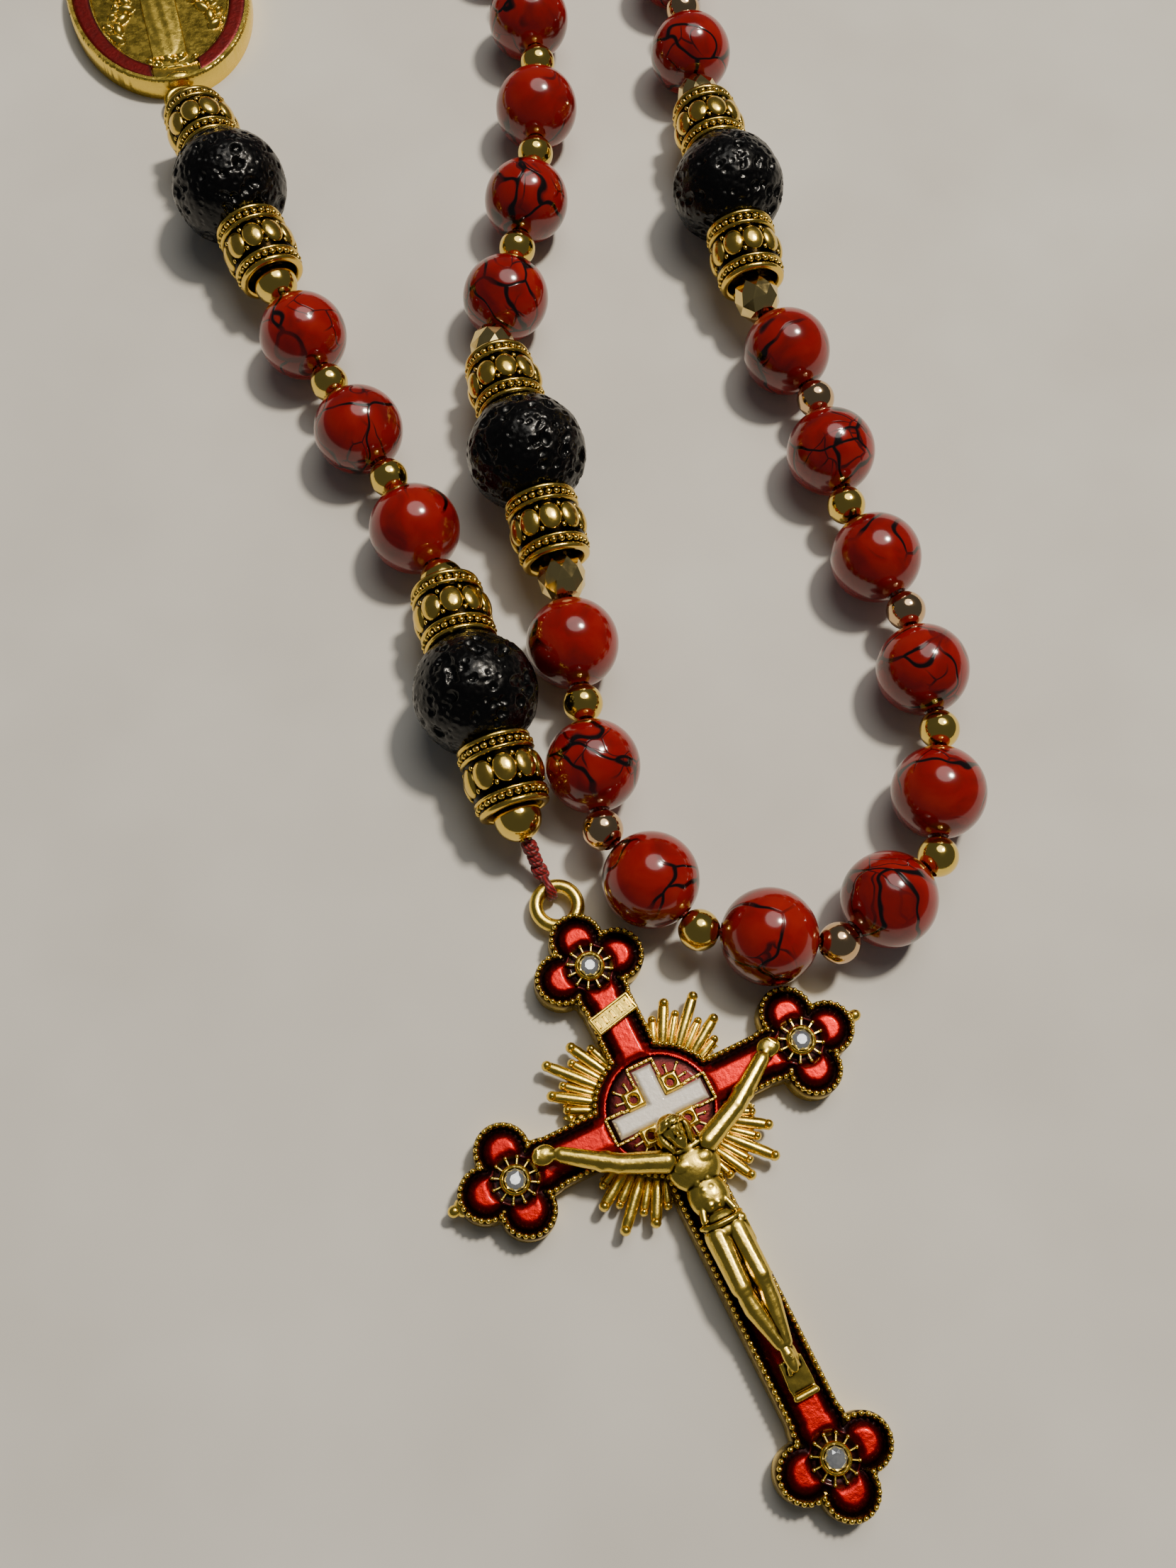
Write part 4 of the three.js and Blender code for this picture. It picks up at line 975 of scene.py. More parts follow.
def beadsAlong(line, pitch, radius, height, tone=1.0):
    # A row of small round beads at an even pitch, each painted darker at its foot as shade
    parts, travelled = [], pitch
    for a, b in zip(line, line[1:]):
        travelled += float(np.linalg.norm(b - a))
        if travelled >= pitch:
            travelled = 0.0
            parts.append(ball((b[0], b[1], height), radius, 8, 6, tone, 0.3))
    return parts


def smoothStep(value, low, high):
    t = np.clip((value - low) / (high - low), 0, 1)
    return t * t * (3 - 2 * t)


def noiseAt(x, y, scale, seed=0.0):
    return np.array([noise.noise(Vector((a * scale, b * scale, seed))) for a, b in zip(x, y)])


def addCasting(name, meshName, parts, finish, sharpAngle, body, node, place):
    mesh = buildMesh(meshName, parts, finish, sharpAngle=sharpAngle)
    addPiece(name, mesh, body, (node,), place)


# The medal

medal = {"halfWidth": 9.2, "halfHeight": 12.2, "thickness": 2.4, "rim": 0.5, "band": 1.7, "gap": 2.4,
         "grid": 0.11, "ground": 1.85}
medalMatrix = (Matrix.Translation((Vector((*medalPlace["centre"], 0)) + layoutShift) * mm)
               @ Matrix.Rotation(math.radians(medalPlace["turn"]), 4, "Z"))


def medalDistance(x, y):
    return ovalDistance(x, y, medal["halfWidth"], medal["halfHeight"])


def bump(x, y, cx, cy, rx, ry, lean=0.0):
    # A soft oval swelling, 1 at its middle
    c, s = math.cos(lean), math.sin(lean)
    u, v = ((x - cx) * c + (y - cy) * s) / rx, (-(x - cx) * s + (y - cy) * c) / ry
    return np.sqrt(np.clip(1 - u * u - v * v, 0, 1))


def medalRelief(x, y):
    # A robed figure on a plain column of light, with leaf scrolls beside it and a row of studs at its foot
    robe = 0.3 * (np.abs(x + 0.3) < 1.75) * (y < 3.2) * (y > -8.6)
    folds = 0.12 * bump(x, y, -0.3, -2.5, 1.8, 6.2) * (1 + 0.25 * np.cos(x * 5.2 + 0.25 * y))
    shoulders = 0.42 * bump(x, y, -0.3, 2.6, 2.3, 1.7)
    head = 0.62 * bump(x, y, -0.3, 5.6, 1.15, 1.5)
    face = 0.12 * bump(x, y, -0.3, 5.35, 0.18, 0.5) + 0.06 * bump(x, y, -0.3, 4.55, 0.5, 0.3)
    halo = 0.2 * (np.abs(np.hypot(x + 0.3, y - 5.6) - 2.2) < 0.18)
    sleeves = 0.4 * bump(x, y, -2.0, 1.2, 0.75, 2.4, 0.45) + 0.4 * bump(x, y, 1.4, 1.2, 0.75, 2.4, -0.45)
    leaves = 0
    for side in (-1, 1):
        for i in range(9):
            angle = 0.9 * i
            cx = side * (4.2 + 0.75 * math.cos(angle)) - 0.1
            cy = -5.2 + i * 1.25
            leaves = np.maximum(leaves, 0.5 * bump(x, y, cx, cy, 0.85, 0.5, side * (0.6 + angle)))
            tipLeaf = bump(x, y, cx + side * 0.95, cy + 0.5, 0.5, 0.34, side * (1.5 - angle))
            leaves = np.maximum(leaves, 0.4 * tipLeaf)
    foot = 0
    for i, cx in enumerate((-2.3, -1.6, -0.5, 0.1, 0.75, 2.2)):
        foot = np.maximum(foot, 0.34 * bump(x, y, cx, -8.75 - 0.35 * (i % 2), 0.34, 0.42, 0.6 * i))
    return np.maximum(np.maximum(robe + folds, np.maximum(shoulders, head + face)),
                      np.maximum(np.maximum(halo, sleeves), np.maximum(leaves, foot)))


def medalHeight(x, y, d):
    rim = smoothStep(-d, 0, 0.16) * 0.22 + medal["thickness"] - 0.22
    inside = -(medal["rim"] + medal["band"])
    field = medal["ground"] + medalRelief(x, y) * smoothStep(-d, -inside + 0.1, -inside + 0.4)
    openFoot = (np.abs(x) < medal["gap"] - 0.1) & (y < 0)
    floor = np.where(openFoot, field + 0.3 * smoothStep(-y, 9.4, 11.4), 1.6)
    z = np.where(d > -medal["rim"] - 0.01, rim, np.where(d > inside + 0.01, floor, field))
    return np.where((d > inside - 0.2) & (d <= inside + 0.01), np.maximum(z, 2.05), z)


def medalTone(x, y, d):
    inside = -(medal["rim"] + medal["band"])
    # The sunk field is painted darker than the raised figure and the rim: painted shade round the relief,
    # with a little random mottling
    raisedPart = np.clip(medalRelief(x, y) * 2.2, 0, 0.6)
    return np.where(d < inside, 0.38 + raisedPart + 0.05 * noiseAt(x, y, 1.2), 0.8)


def bandHeight(x, y, d):
    inside = -(medal["rim"] + medal["band"])
    return 2.12 + 0.12 * smoothStep(np.minimum(-d - medal["rim"], d - inside), 0, 0.3)


def bandPart():
    # The band is cut out of the oval field: outside the rim line, inside the inner line, open at the foot
    def bandDistance(x, y):
        d = medalDistance(x, y)
        ring = np.maximum(d + medal["rim"] + 0.02, -(d + medal["rim"] + medal["band"] - 0.02))
        opening = boxDistance(x, y, 0, -medal["halfHeight"], medal["gap"], 4)
        return np.maximum(ring, -opening)

    extent = (-medal["halfWidth"], medal["halfWidth"], -medal["halfHeight"], medal["halfHeight"])

    def tone(x, y, d):
        return 0.5 - 0.4 * smoothStep(-d, 0.3, 0) + 0.12 * noiseAt(x, y, 0.9)

    def height(x, y, d):
        return bandHeight(x, y, medalDistance(x, y))

    return reliefPart(bandDistance, extent, medal["grid"], [-0.2], height, bottom=1.7, toneOf=tone)


def addMedal():
    extent = (-medal["halfWidth"], medal["halfWidth"], -medal["halfHeight"], medal["halfHeight"])
    inside = medal["rim"] + medal["band"]
    plate = reliefPart(medalDistance, extent, medal["grid"], [-0.16, -medal["rim"], -inside], medalHeight,
                       bottom=0.0, toneOf=medalTone)
    parts = [plate]
    earX, earY = medalPlace["ear"]
    for x, y in (medalPlace["ring"], (earX, earY), (-earX, earY)):
        place = (x, y, medalPlace["ringHeight"])
        parts.append(ringPart(place, medalPlace["ringRadius"], medalPlace["ringWire"]))
    parts.append(ball((0, -11.5, 2.2), (1.1, 0.55, 0.3), 20, 12, 1.0))
    addCasting("medal_plate", "medalPlate", parts, castGold, 45, "medal", "medal_body", medalMatrix)
    addCasting("medal_band", "medalBand", [bandPart()], bandEnamel, 60, "medal", "medal_enamel_band",
               medalMatrix)


addMedal()
print("medal made")

# The crucifix

cross = {
    "armHalf": 2.1, "stones": {"top": (0, 12.7), "left": (-12.6, 0), "right": (12.6, 0), "foot": (0, -28.2)},
    "lobeOffset": 2.45, "lobe": 2.25, "lobeMiddle": 2.75, "disc": 5.4, "thickness": 2.6, "rim": 0.5,
    "floor": 1.6, "grid": 0.12, "milgrainPitch": 0.52, "milgrainRadius": 0.215, "milgrainInset": 0.24,
    "medallion": 4.3, "bezel": 1.25, "crystal": 0.9, "enamelLow": 2.0, "enamelRise": 0.42, "nubReach": 17.75,
}
crossMatrix = (Matrix.Translation((crossCentre + layoutShift) * mm)
               @ Matrix.Rotation(math.radians(crossPlace["turn"]), 4, "Z"))
crossExtent = (-18, 18, -33.5, 18)


def crossDistance(x, y):
    top, foot, side = cross["stones"]["top"][1], cross["stones"]["foot"][1], cross["stones"]["right"][0]
    nearest = np.minimum(np.hypot(x, y) - cross["disc"],
                         boxDistance(x, y, 0, (top + foot) / 2, cross["armHalf"], (top - foot) / 2))
    nearest = np.minimum(nearest, boxDistance(x, y, 0, 0, side, cross["armHalf"]))
    for sx, sy in cross["stones"].values():
        nearest = np.minimum(nearest, np.hypot(x - sx, y - sy) - cross["lobeMiddle"])
        for dx, dy in ((1, 0), (-1, 0), (0, 1), (0, -1)):
            lobeX, lobeY = sx + dx * cross["lobeOffset"], sy + dy * cross["lobeOffset"]
            nearest = np.minimum(nearest, np.hypot(x - lobeX, y - lobeY) - cross["lobe"])
    return nearest


def shellHeight(x, y, d):
    # The rim is rounded over, so that the beads on it stand clear
    across = np.clip(-d / cross["rim"], 0, 1)
    rim = cross["thickness"] - 0.42 + 0.2 * np.sqrt(np.clip(1 - (2 * across - 1) ** 2, 0, 1))
    return np.where(d > -cross["rim"] - 0.01, rim, cross["floor"])


def shellTone(x, y, d):
    # The rim and the floor are painted dark: painted shade between the rim beads and on the floor under the
    # enamel
    return np.where(d > -cross["rim"] - 0.01, 0.12, 0.05)


def stoneDistance(x, y):
    return np.minimum.reduce([np.hypot(x - sx, y - sy) for sx, sy in cross["stones"].values()])


def enamelEdge(x, y, d):
    # How far a point of the enamel is from the nearest wall
    toMedallion = np.abs(np.hypot(x, y) - 4.05) + 0.12
    return np.minimum.reduce([-d - cross["rim"], stoneDistance(x, y) - 1.5, toMedallion])


def enamelHeight(x, y, d):
    return cross["enamelLow"] + cross["enamelRise"] * smoothStep(enamelEdge(x, y, d), -0.05, 0.95)


def enamelTone(x, y, d):
    edge = enamelEdge(x, y, d)
    ringBand = (np.hypot(x, y) < 5.4) & (np.hypot(x, y) > 4.2)
    tone = smoothStep(edge, 0.0, 1.25)
    return np.where(ringBand, smoothStep(edge, 0.0, 0.42) * 0.8, tone)


def addCrossShell():
    edges = [-0.12, -0.3, -cross["rim"], -cross["rim"] - 0.12]
    parts = [reliefPart(crossDistance, crossExtent, cross["grid"], edges, shellHeight, bottom=0.05,
                        toneOf=shellTone)]
    # The row of fine beads runs along the middle of the rim
    rimLine = outline(crossDistance, (cross["armHalf"], 9.0), -cross["milgrainInset"])
    row = beadsAlong(rimLine, cross["milgrainPitch"], cross["milgrainRadius"], cross["thickness"] - 0.04)
    addCasting("crucifix_milgrain", "crucifixMilgrain", row, castGold, None, "crucifix", "crucifix_body",
               crossMatrix)
    for side in (-1, 1):
        parts.append(ball((side * cross["nubReach"], 0, 1.5), (0.55, 0.5, 0.55), 14, 10, 0.9))
        parts.append(ball((side * 17.2, 0, 1.4), (0.5, 0.75, 0.7), 14, 10, 0.8))
    ring = (*crossPlace["ring"], crossPlace["ringHeight"])
    parts.append(ringPart(ring, crossPlace["ringRadius"], crossPlace["ringWire"], 56, 14))
    addCasting("crucifix_shell", "crucifixShell", parts, castGold, 40, "crucifix", "crucifix_body",
               crossMatrix)


def addRays():
    # A fan in each corner: long rounded rays with short ones between, over a rough ground
    parts = []
    fan = [(26, 7.3), (33, 8.6), (40, 7.9), (47, 9.6), (54, 7.9), (61, 8.6), (68, 7.3)]
    for corner in range(4):
        for angle, tip in fan:
            angle = angle if corner % 2 == 0 else 90 - angle
            a = math.radians(corner * 90 + angle)
            way = Vector((math.cos(a), math.sin(a), 0))
            long = tip > 8.4
            width, z = (0.47, 1.62) if long else (0.38, 1.42)
            line = [way * r + Vector((0, 0, z)) for r in np.linspace(5.0, tip, 7)]
            radii = [width * 0.7, width * 0.85, width, width, width, width, width * 0.85]
            parts.append(tube(line, radii, 10, tone=1.0 if long else 0.8, squash=0.95))
            # Each ray ends in a ball painted darker at its foot as shade
            parts.append(ball(line[-1], (width * 0.95, width * 0.95, width * 1.4), 10, 8, 0.95, 0.4))
    rough = np.random.default_rng(5).random((40, 40))

    def fanDistance(x, y):
        r = np.hypot(x, y)
        a = np.degrees(np.arctan2(y, x)) % 90
        teeth = 7.35 + 0.3 * np.cos(np.radians(a - 47) * 360 / 7.0)
        spread = np.radians(np.maximum(np.abs(a - 47) - 25, 0)) * r
        return np.maximum(np.maximum(r - teeth, 4.9 - r), spread)

    def groundHeight(x, y, d):
        i = (np.abs(x * 2.4).astype(int)) % 40
        j = (np.abs(y * 2.4).astype(int)) % 40
        return 1.15 + 0.3 * rough[i, j] + 0.12 * noiseAt(x, y, 2.5, 4)

    def groundTone(x, y, d):
        # The ground is painted darker than the rays, as shade between them, with random mottling
        return 0.42 + 0.5 * noiseAt(x, y, 2.5, 4)

    ground = reliefPart(fanDistance, (-8, 8, -8, 8), 0.13, [], groundHeight, bottom=0.6, toneOf=groundTone)
    parts.append(ground)
    addCasting("crucifix_rays", "crucifixRays", parts, castGold, 50, "crucifix", "crucifix_body", crossMatrix)


def addEnamel():
    def enamelDistance(x, y):
        aroundStones = cross["bezel"] - stoneDistance(x, y)
        aroundMedallion = cross["medallion"] - np.hypot(x, y)
        return np.maximum(crossDistance(x, y) + cross["rim"], np.maximum(aroundStones, aroundMedallion))

    def height(x, y, d):
        return enamelHeight(x, y, crossDistance(x, y))

    def tone(x, y, d):
        return enamelTone(x, y, crossDistance(x, y))

    part = reliefPart(enamelDistance, crossExtent, cross["grid"], [], height, toneOf=tone, bottom=1.7)
    addCasting("crucifix_enamel", "crucifixEnamel", [part], redEnamel, 60, "crucifix", "crucifix_red_enamel",
               crossMatrix)
    radius = cross["medallion"]
    profile = [(radius, 1.5), (radius, 2.12), (radius - 0.2, 2.24), (radius - 0.7, 2.3), (0, 2.34)]
    disc = turned(profile, 72, tones=[0, 0, 0.15, 0.45, 0.6])
    addCasting("crucifix_medallion", "crucifixMedallion", [disc], deepEnamel, 60, "crucifix", "crucifix_body",
               crossMatrix)


def addWhiteCross():
    settings = {"armX": 3.85, "top": 3.5, "foot": -3.9, "half": 0.78, "endHalf": 1.12, "endReach": 4.35}

    def whiteDistance(x, y):
        middle = (settings["top"] + settings["foot"]) / 2
        upright = boxDistance(x, y, 0, middle, settings["half"], (settings["top"] - settings["foot"]) / 2)
        return np.minimum(upright, boxDistance(x, y, 0, 0, settings["armX"], settings["half"])) - 0.05

    def height(x, y, d):
        return 2.36 + 0.3 * smoothStep(-d, 0, 0.3)

    def tone(x, y, d):
        return 0.25 + 0.5 * smoothStep(-d, 0, 0.35)

    part = reliefPart(whiteDistance, (-5, 5, -5, 5), 0.08, [-0.2], height, bottom=2.3, toneOf=tone)
    addCasting("crucifix_white_cross", "whiteCross", [part], whiteEnamel, 60, "crucifix",
               "crucifix_white_enamel", crossMatrix)

    # Gold outline: a bar along each edge, wider round the ends, with beads on it
    def goldDistance(x, y):
        ends = np.minimum.reduce([
            boxDistance(x, y, 0.8 - settings["endReach"], 0, 0.8, settings["endHalf"]),
            boxDistance(x, y, settings["endReach"] - 0.8, 0, 0.8, settings["endHalf"]),
            boxDistance(x, y, 0, settings["top"] - 0.35, settings["endHalf"], 0.75),
        ])
        return np.minimum(whiteDistance(x, y) - 0.2, ends)

    line = outline(goldDistance, (0.8, 2.4), -0.02)
    parts = [tube([(p[0], p[1], 2.42) for p in line[::6]], 0.13, 6, closed=True)]
    parts += beadsAlong(line, 0.42, 0.15, 2.5)
    # Square studs with a drilled hole, and pins with ball ends between them
    for sx, sy in ((-1, 1), (1, 1), (-1, -1), (1, -1)):
        cx, cy = sx * 1.62, sy * 1.55

        def studDistance(x, y, cx=cx, cy=cy):
            return np.maximum(boxDistance(x, y, cx, cy, 0.68, 0.68) - 0.1, 0.32 - np.hypot(x - cx, y - cy))

        parts.append(reliefPart(studDistance, (cx - 1, cx + 1, cy - 1, cy + 1), 0.07, [],
                                lambda x, y, d: 2.5 + 0.22 * smoothStep(-d, 0, 0.2), bottom=2.3))
        for turn in (-38, 0, 38):
            a = math.atan2(sy, sx) + math.radians(turn)
            way = Vector((math.cos(a), math.sin(a), 0))
            root = Vector((cx, cy, 2.46)) + way * 0.8
            tip = Vector((cx, cy, 2.46)) + way * (1.65 if turn == 0 else 1.4)
            if max(abs(tip.x), abs(tip.y)) < 4.1:
                parts.append(tube([root, tip], 0.09, 6))
                parts.append(ball(tip, 0.16, 8, 6))
    addCasting("crucifix_cross_frame", "whiteCrossFrame", parts, castGold, 45, "crucifix", "crucifix_body",
               crossMatrix)


def addStones():
    settings = {"spokes": 12, "spokeEnd": 1.8, "spoke": 0.09, "bead": 0.17}
    parts = []
    for sx, sy in cross["stones"].values():
        outer, inner = cross["bezel"], cross["crystal"]
        wall = [(outer - 0.02, 1.5), (outer, 2.5), (outer - 0.08, 2.78), (outer - 0.22, 2.86),
                (inner + 0.02, 2.7), (inner - 0.05, 2.2), (0, 2.1)]
        # The cup is painted darker inside and at its foot: painted shade
        cup = turned(wall, 32, tones=[0.4, 0.7, 1, 1, 0.6, 0.3, 0.3])
        parts.append(moved(cup, Matrix.Translation((sx, sy, 0))))
        for k in range(settings["spokes"]):
            a = 2 * math.pi * k / settings["spokes"]
            way = Vector((math.cos(a), math.sin(a), 0))
            root = Vector((sx, sy, 2.44)) + way * (cross["bezel"] - 0.05)
            tip = Vector((sx, sy, 2.42)) + way * settings["spokeEnd"]
            parts.append(tube([root, tip], settings["spoke"], 6))
            parts.append(ball(tip, settings["bead"], 8, 6))
    addCasting("crucifix_bezels", "crucifixBezels", parts, castGold, 45, "crucifix", "crucifix_body",
               crossMatrix)
    # Crystal: a flat table, eight star facets and eight crown facets
    points = [(0, 0, 3.0)]
    for radius, height, shift in ((0.42, 3.0, 0), (0.68, 2.9, 0.5), (0.88, 2.68, 0), (0.88, 2.5, 0)):
        for k in range(8):
            a = 2 * math.pi * (k + shift) / 8
            points.append((radius * math.cos(a), radius * math.sin(a), height))
    points.append((0, 0, 2.2))
    faces = []
    for k in range(8):
        n = (k + 1) % 8
        faces.append((0, 1 + k, 1 + n))
        faces.append((1 + k, 9 + k, 1 + n))
        faces.append((1 + n, 9 + k, 9 + n))
        faces.append((9 + k, 17 + k, 17 + n))
        faces.append((9 + k, 17 + n, 9 + n))
        faces.append((17 + k, 25 + k, 25 + n, 17 + n))
        faces.append((25 + k, 33, 25 + n))
    part = (np.array(points), faces, np.full(len(points), 0.8))
    mesh = buildMesh("cutCrystal", [part], cutCrystal, smooth=False)
    for i, (name, (sx, sy)) in enumerate(cross["stones"].items()):
        place = crossMatrix @ Matrix.Translation((sx * mm, sy * mm, 0)) @ Matrix.Rotation(0.4 * i, 4, "Z")
        addPiece("stone_" + name, mesh, "crucifix", ("crystal_" + name,), place)


def addPlaque():
    # A blank scroll: raised border and a fine row of upright cuts in place of any lettering
    settings = {"centre": (-0.1, 8.3), "halfX": 1.92, "halfY": 0.8, "turn": 12.5, "top": 3.15}

    def plaqueDistance(x, y):
        return boxDistance(x, y, 0, 0, settings["halfX"] - 0.08, settings["halfY"] - 0.08) - 0.08

    def height(x, y, d):
        field = settings["top"] - 0.14 * smoothStep(-d, 0.16, 0.24)
        ribs = 0.07 * (np.abs(y) < 0.34) * (np.abs(x) < 1.5) * (np.cos(x * 2 * math.pi / 0.75) > 0.55)
        return field + ribs - 0.08 * smoothStep(d, -0.06, 0)

    def tone(x, y, d):
        # The sunk field is painted darker than the border as shade; the raised cuts keep the lighter gold
        return 0.75 - 0.35 * smoothStep(-d, 0.16, 0.24) + 0.3 * (np.abs(y) < 0.34) * (np.cos(x * 8.38) > 0.55)

    part = reliefPart(plaqueDistance, (-2, 2, -1, 1), 0.05, [-0.16, -0.24], height, bottom=2.5, toneOf=tone)
    place = crossMatrix @ Matrix.Translation((settings["centre"][0] * mm, settings["centre"][1] * mm, 0))
    place = place @ Matrix.Rotation(math.radians(settings["turn"]), 4, "Z")
    addCasting("crucifix_plaque", "crucifixPlaque", [part], castGold, 50, "crucifix", "crucifix_title_plaque",
               place)


addCrossShell()
addRays()
addEnamel()
addWhiteCross()
addStones()
addPlaque()
print("crucifix made")


def capsule(a, b, radiusA, radiusB, steps=7, sides=14):
    # A tapered limb with round ends
    a, b = Vector(a), Vector(b)
    line = [a.lerp(b, t) for t in np.linspace(0, 1, steps)]
    radii = [radiusA + (radiusB - radiusA) * t for t in np.linspace(0, 1, steps)]
    return [tube(line, radii, sides), ball(a, [radiusA] * 3, sides, 10), ball(b, [radiusB] * 3, sides, 10)]


def sculpted(name, parts, grain, passes, finish):
    # Fuses overlapping closed shapes into one skin, softens it, and stores how raised each point is as tone,
    # so that creases and hollows are painted darker as shade
    rough = bpy.data.objects.new(name, buildMesh(name, parts, finish))
    bpy.context.scene.collection.objects.link(rough)
    fuse = rough.modifiers.new("fuse", "REMESH")
    fuse.mode, fuse.voxel_size, fuse.use_smooth_shade = "VOXEL", grain * mm, True
    soften = rough.modifiers.new("soften", "SMOOTH")
    soften.factor, soften.iterations = 0.5, passes
    mesh = bpy.data.meshes.new_from_object(rough.evaluated_get(bpy.context.evaluated_depsgraph_get()))
    bpy.data.objects.remove(rough)
    count = len(mesh.vertices)
    places, normals = np.zeros(count * 3), np.zeros(count * 3)
    mesh.vertices.foreach_get("co", places)
    mesh.vertices.foreach_get("normal", normals)
    ends = np.zeros(len(mesh.edges) * 2, int)
    mesh.edges.foreach_get("vertices", ends)
    places, normals, ends = places.reshape(-1, 3), normals.reshape(-1, 3), ends.reshape(-1, 2)

    def spread(values):
        total, hits = np.zeros_like(values), np.zeros(count)
        for one, other in ((0, 1), (1, 0)):
            np.add.at(total, ends[:, one], values[ends[:, other]])
            np.add.at(hits, ends[:, one], 1)
        return total / np.maximum(hits, 1).reshape([-1] + [1] * (values.ndim - 1))

    average = places
    for i in range(5):
        average = spread(average)
    # Points below their neighbours get a lower tone: painted shade in the creases
    tone = 0.62 + 3.15 * ((places - average) * normals).sum(1) / (grain * mm)
    tone = np.clip(spread(tone), 0.0, 1.0)
    if "tone" in mesh.attributes:
        mesh.attributes.remove(mesh.attributes["tone"])
    mesh.attributes.new("tone", "FLOAT", "POINT").data.foreach_set("value", tone)
    mesh.materials.clear()
    mesh.materials.append(finish["material"])
    return mesh


def bodyParts():
    # Torso, hips and legs on everyday proportions, seven and a half heads tall
    trunk = (((0.1, -5.15, 3.75), (2.15, 1.9, 1.02)), ((0.1, -7.6, 3.75), (1.62, 1.9, 0.9)),
             ((0.05, -9.9, 3.8), (1.6, 1.3, 0.95)))
    parts = [ball(centre, radii, 24, 16) for centre, radii in trunk]
    parts.append(ball((0.1, -5.0, 3.0), (1.0, 1.4, 0.9), 16, 10))
    middle = 0.1
    for side in (-1, 1):
        parts.append(ball((middle + side * 0.8, -4.85, 4.36), (0.82, 0.62, 0.42), 18, 12))
        parts.append(ball((middle + side * 1.75, -3.95, 3.95), (0.72, 0.66, 0.66), 16, 12))
        parts += capsule((middle + side * 0.12, -3.78, 4.42), (middle + side * 1.6, -3.62, 4.42), 0.2, 0.2)
        parts += capsule((middle + side * 0.22, -3.05, 4.5), (middle + side * 0.14, -3.85, 4.5), 0.2, 0.16)
        for i in range(4):
            y = -5.62 - 0.46 * i
            rib = (middle + side * 0.42, y + 0.14, 4.52 - 0.05 * i)
            ribEnd = (middle + side * (1.32 - 0.1 * i), y - 0.16, 4.12 - 0.05 * i)
            parts += capsule(rib, ribEnd, 0.17, 0.14)
        for i in range(3):
            parts.append(ball((middle + side * 0.3, -7.1 - 0.62 * i, 4.46), (0.3, 0.27, 0.2), 12, 8))
        parts += capsule((middle + side * 0.95, -8.2, 4.1), (middle + side * 1.25, -9.2, 4.25), 0.3, 0.28)
    parts += capsule((-0.72, -10.6, 3.95), (-0.88, -14.6, 4.35), 1.02, 0.84)
    parts += capsule((0.82, -10.6, 3.95), (0.88, -14.4, 4.4), 1.02, 0.84)
    for x, y, z, foot in ((-0.85, -15.0, 4.5, -0.12), (0.84, -14.8, 4.55, 0.34)):
        parts.append(ball((x, y, z), (0.72, 0.75, 0.58), 16, 12))
        parts += capsule((x, y - 0.4, z - 0.2), (x * 0.86, -16.4, 4.15), 0.7, 0.78)
        parts += capsule((x * 0.86, -16.4, 4.15), (foot, -19.4, 4.0), 0.78, 0.52)
        parts += capsule((x * 0.9, y - 0.5, z + 0.16), (foot, -19.2, 4.4), 0.24, 0.18)
    parts.append(ball((0.08, -15.9, 3.3), (0.95, 3.6, 0.95), 14, 10))
    return parts


def armParts():
    parts = []
    arms = (((-1.65, -3.95, 3.95), (-4.9, -2.55, 3.85), (-8.7, 0.05, 3.6), (-9.9, 0.62, 3.5)),
            ((1.85, -3.95, 3.95), (5.2, -2.45, 3.85), (8.75, -0.1, 3.6), (9.7, 0.5, 3.5)))
    for shoulder, elbow, wrist, palm in arms:
        parts += capsule(shoulder, elbow, 0.92, 0.8)
        parts += capsule(elbow, wrist, 0.82, 0.66)
        middle = Vector(elbow).lerp(Vector(wrist), 0.28)
        parts.append(ball(middle, (0.95, 0.86, 0.74), 14, 10))
        parts.append(ball(palm, (1.0, 0.82, 0.46), 16, 10))
        parts += capsule(wrist, palm, 0.46, 0.45)
        reach = (Vector(palm) - Vector(wrist)).normalized()
        across = Vector((-reach.y, reach.x, 0))
        for i in range(4):
            knuckle = Vector(palm) + reach * 0.36 + across * (0.23 * (i - 1.5)) + Vector((0, 0, 0.12))
            joint = knuckle + reach * 0.3 + Vector((0, 0, 0.1))
            fingertip = knuckle + reach * 0.16 + Vector((0, 0, 0.3))
            parts += capsule(knuckle, joint, 0.16, 0.15, 4, 8)
            parts += capsule(joint, fingertip, 0.12, 0.1, 4, 8)
        parts.append(ball(Vector(palm) + Vector((0, 0, 0.36)), (0.16, 0.16, 0.14), 10, 8))
        # A web of metal joins the arm to the cross beneath
        parts += capsule(Vector(wrist) - Vector((0, 0, 0.7)), Vector(palm) - Vector((0, 0, 0.6)), 0.3, 0.34)
    return parts


def footParts():
    parts = [ball((0.3, -20.2, 3.75), (0.5, 1.15, 0.42), 16, 12),
             ball((0.02, -20.5, 4.12), (0.5, 1.2, 0.4), 16, 12)]
    for i in range(5):
        x = -0.38 + 0.2 * i
        tip = (x * 1.15, -21.6 + 0.08 * i, 3.9)
        parts += capsule((x, -21.2 + 0.06 * i, 4.05), tip, 0.15, 0.13 if i else 0.16, 4, 8)
    parts.append(ball((0.08, -20.5, 4.55), (0.17, 0.17, 0.14), 10, 8))
    # Footrest: a wedge that widens downwards
    wedge = [(-0.85, -20.6), (0.95, -20.6), (1.08, -22.6), (0.95, -23.55), (-0.75, -23.55), (-0.95, -22.6)]
    points = [(x, y, 2.4) for x, y in wedge] + [(x, y, 3.9 + 0.27 * (y + 20.6)) for x, y in wedge]
    faces = [tuple(range(6)), tuple(reversed(range(6, 12)))]
    faces += [(6 + i, 6 + (i + 1) % 6, (i + 1) % 6, i) for i in range(6)]
    parts.append((np.array(points), faces, np.full(12, 0.8)))
    parts += capsule((-0.72, -23.35, 3.25), (0.9, -23.35, 3.25), 0.28, 0.28)
    return parts


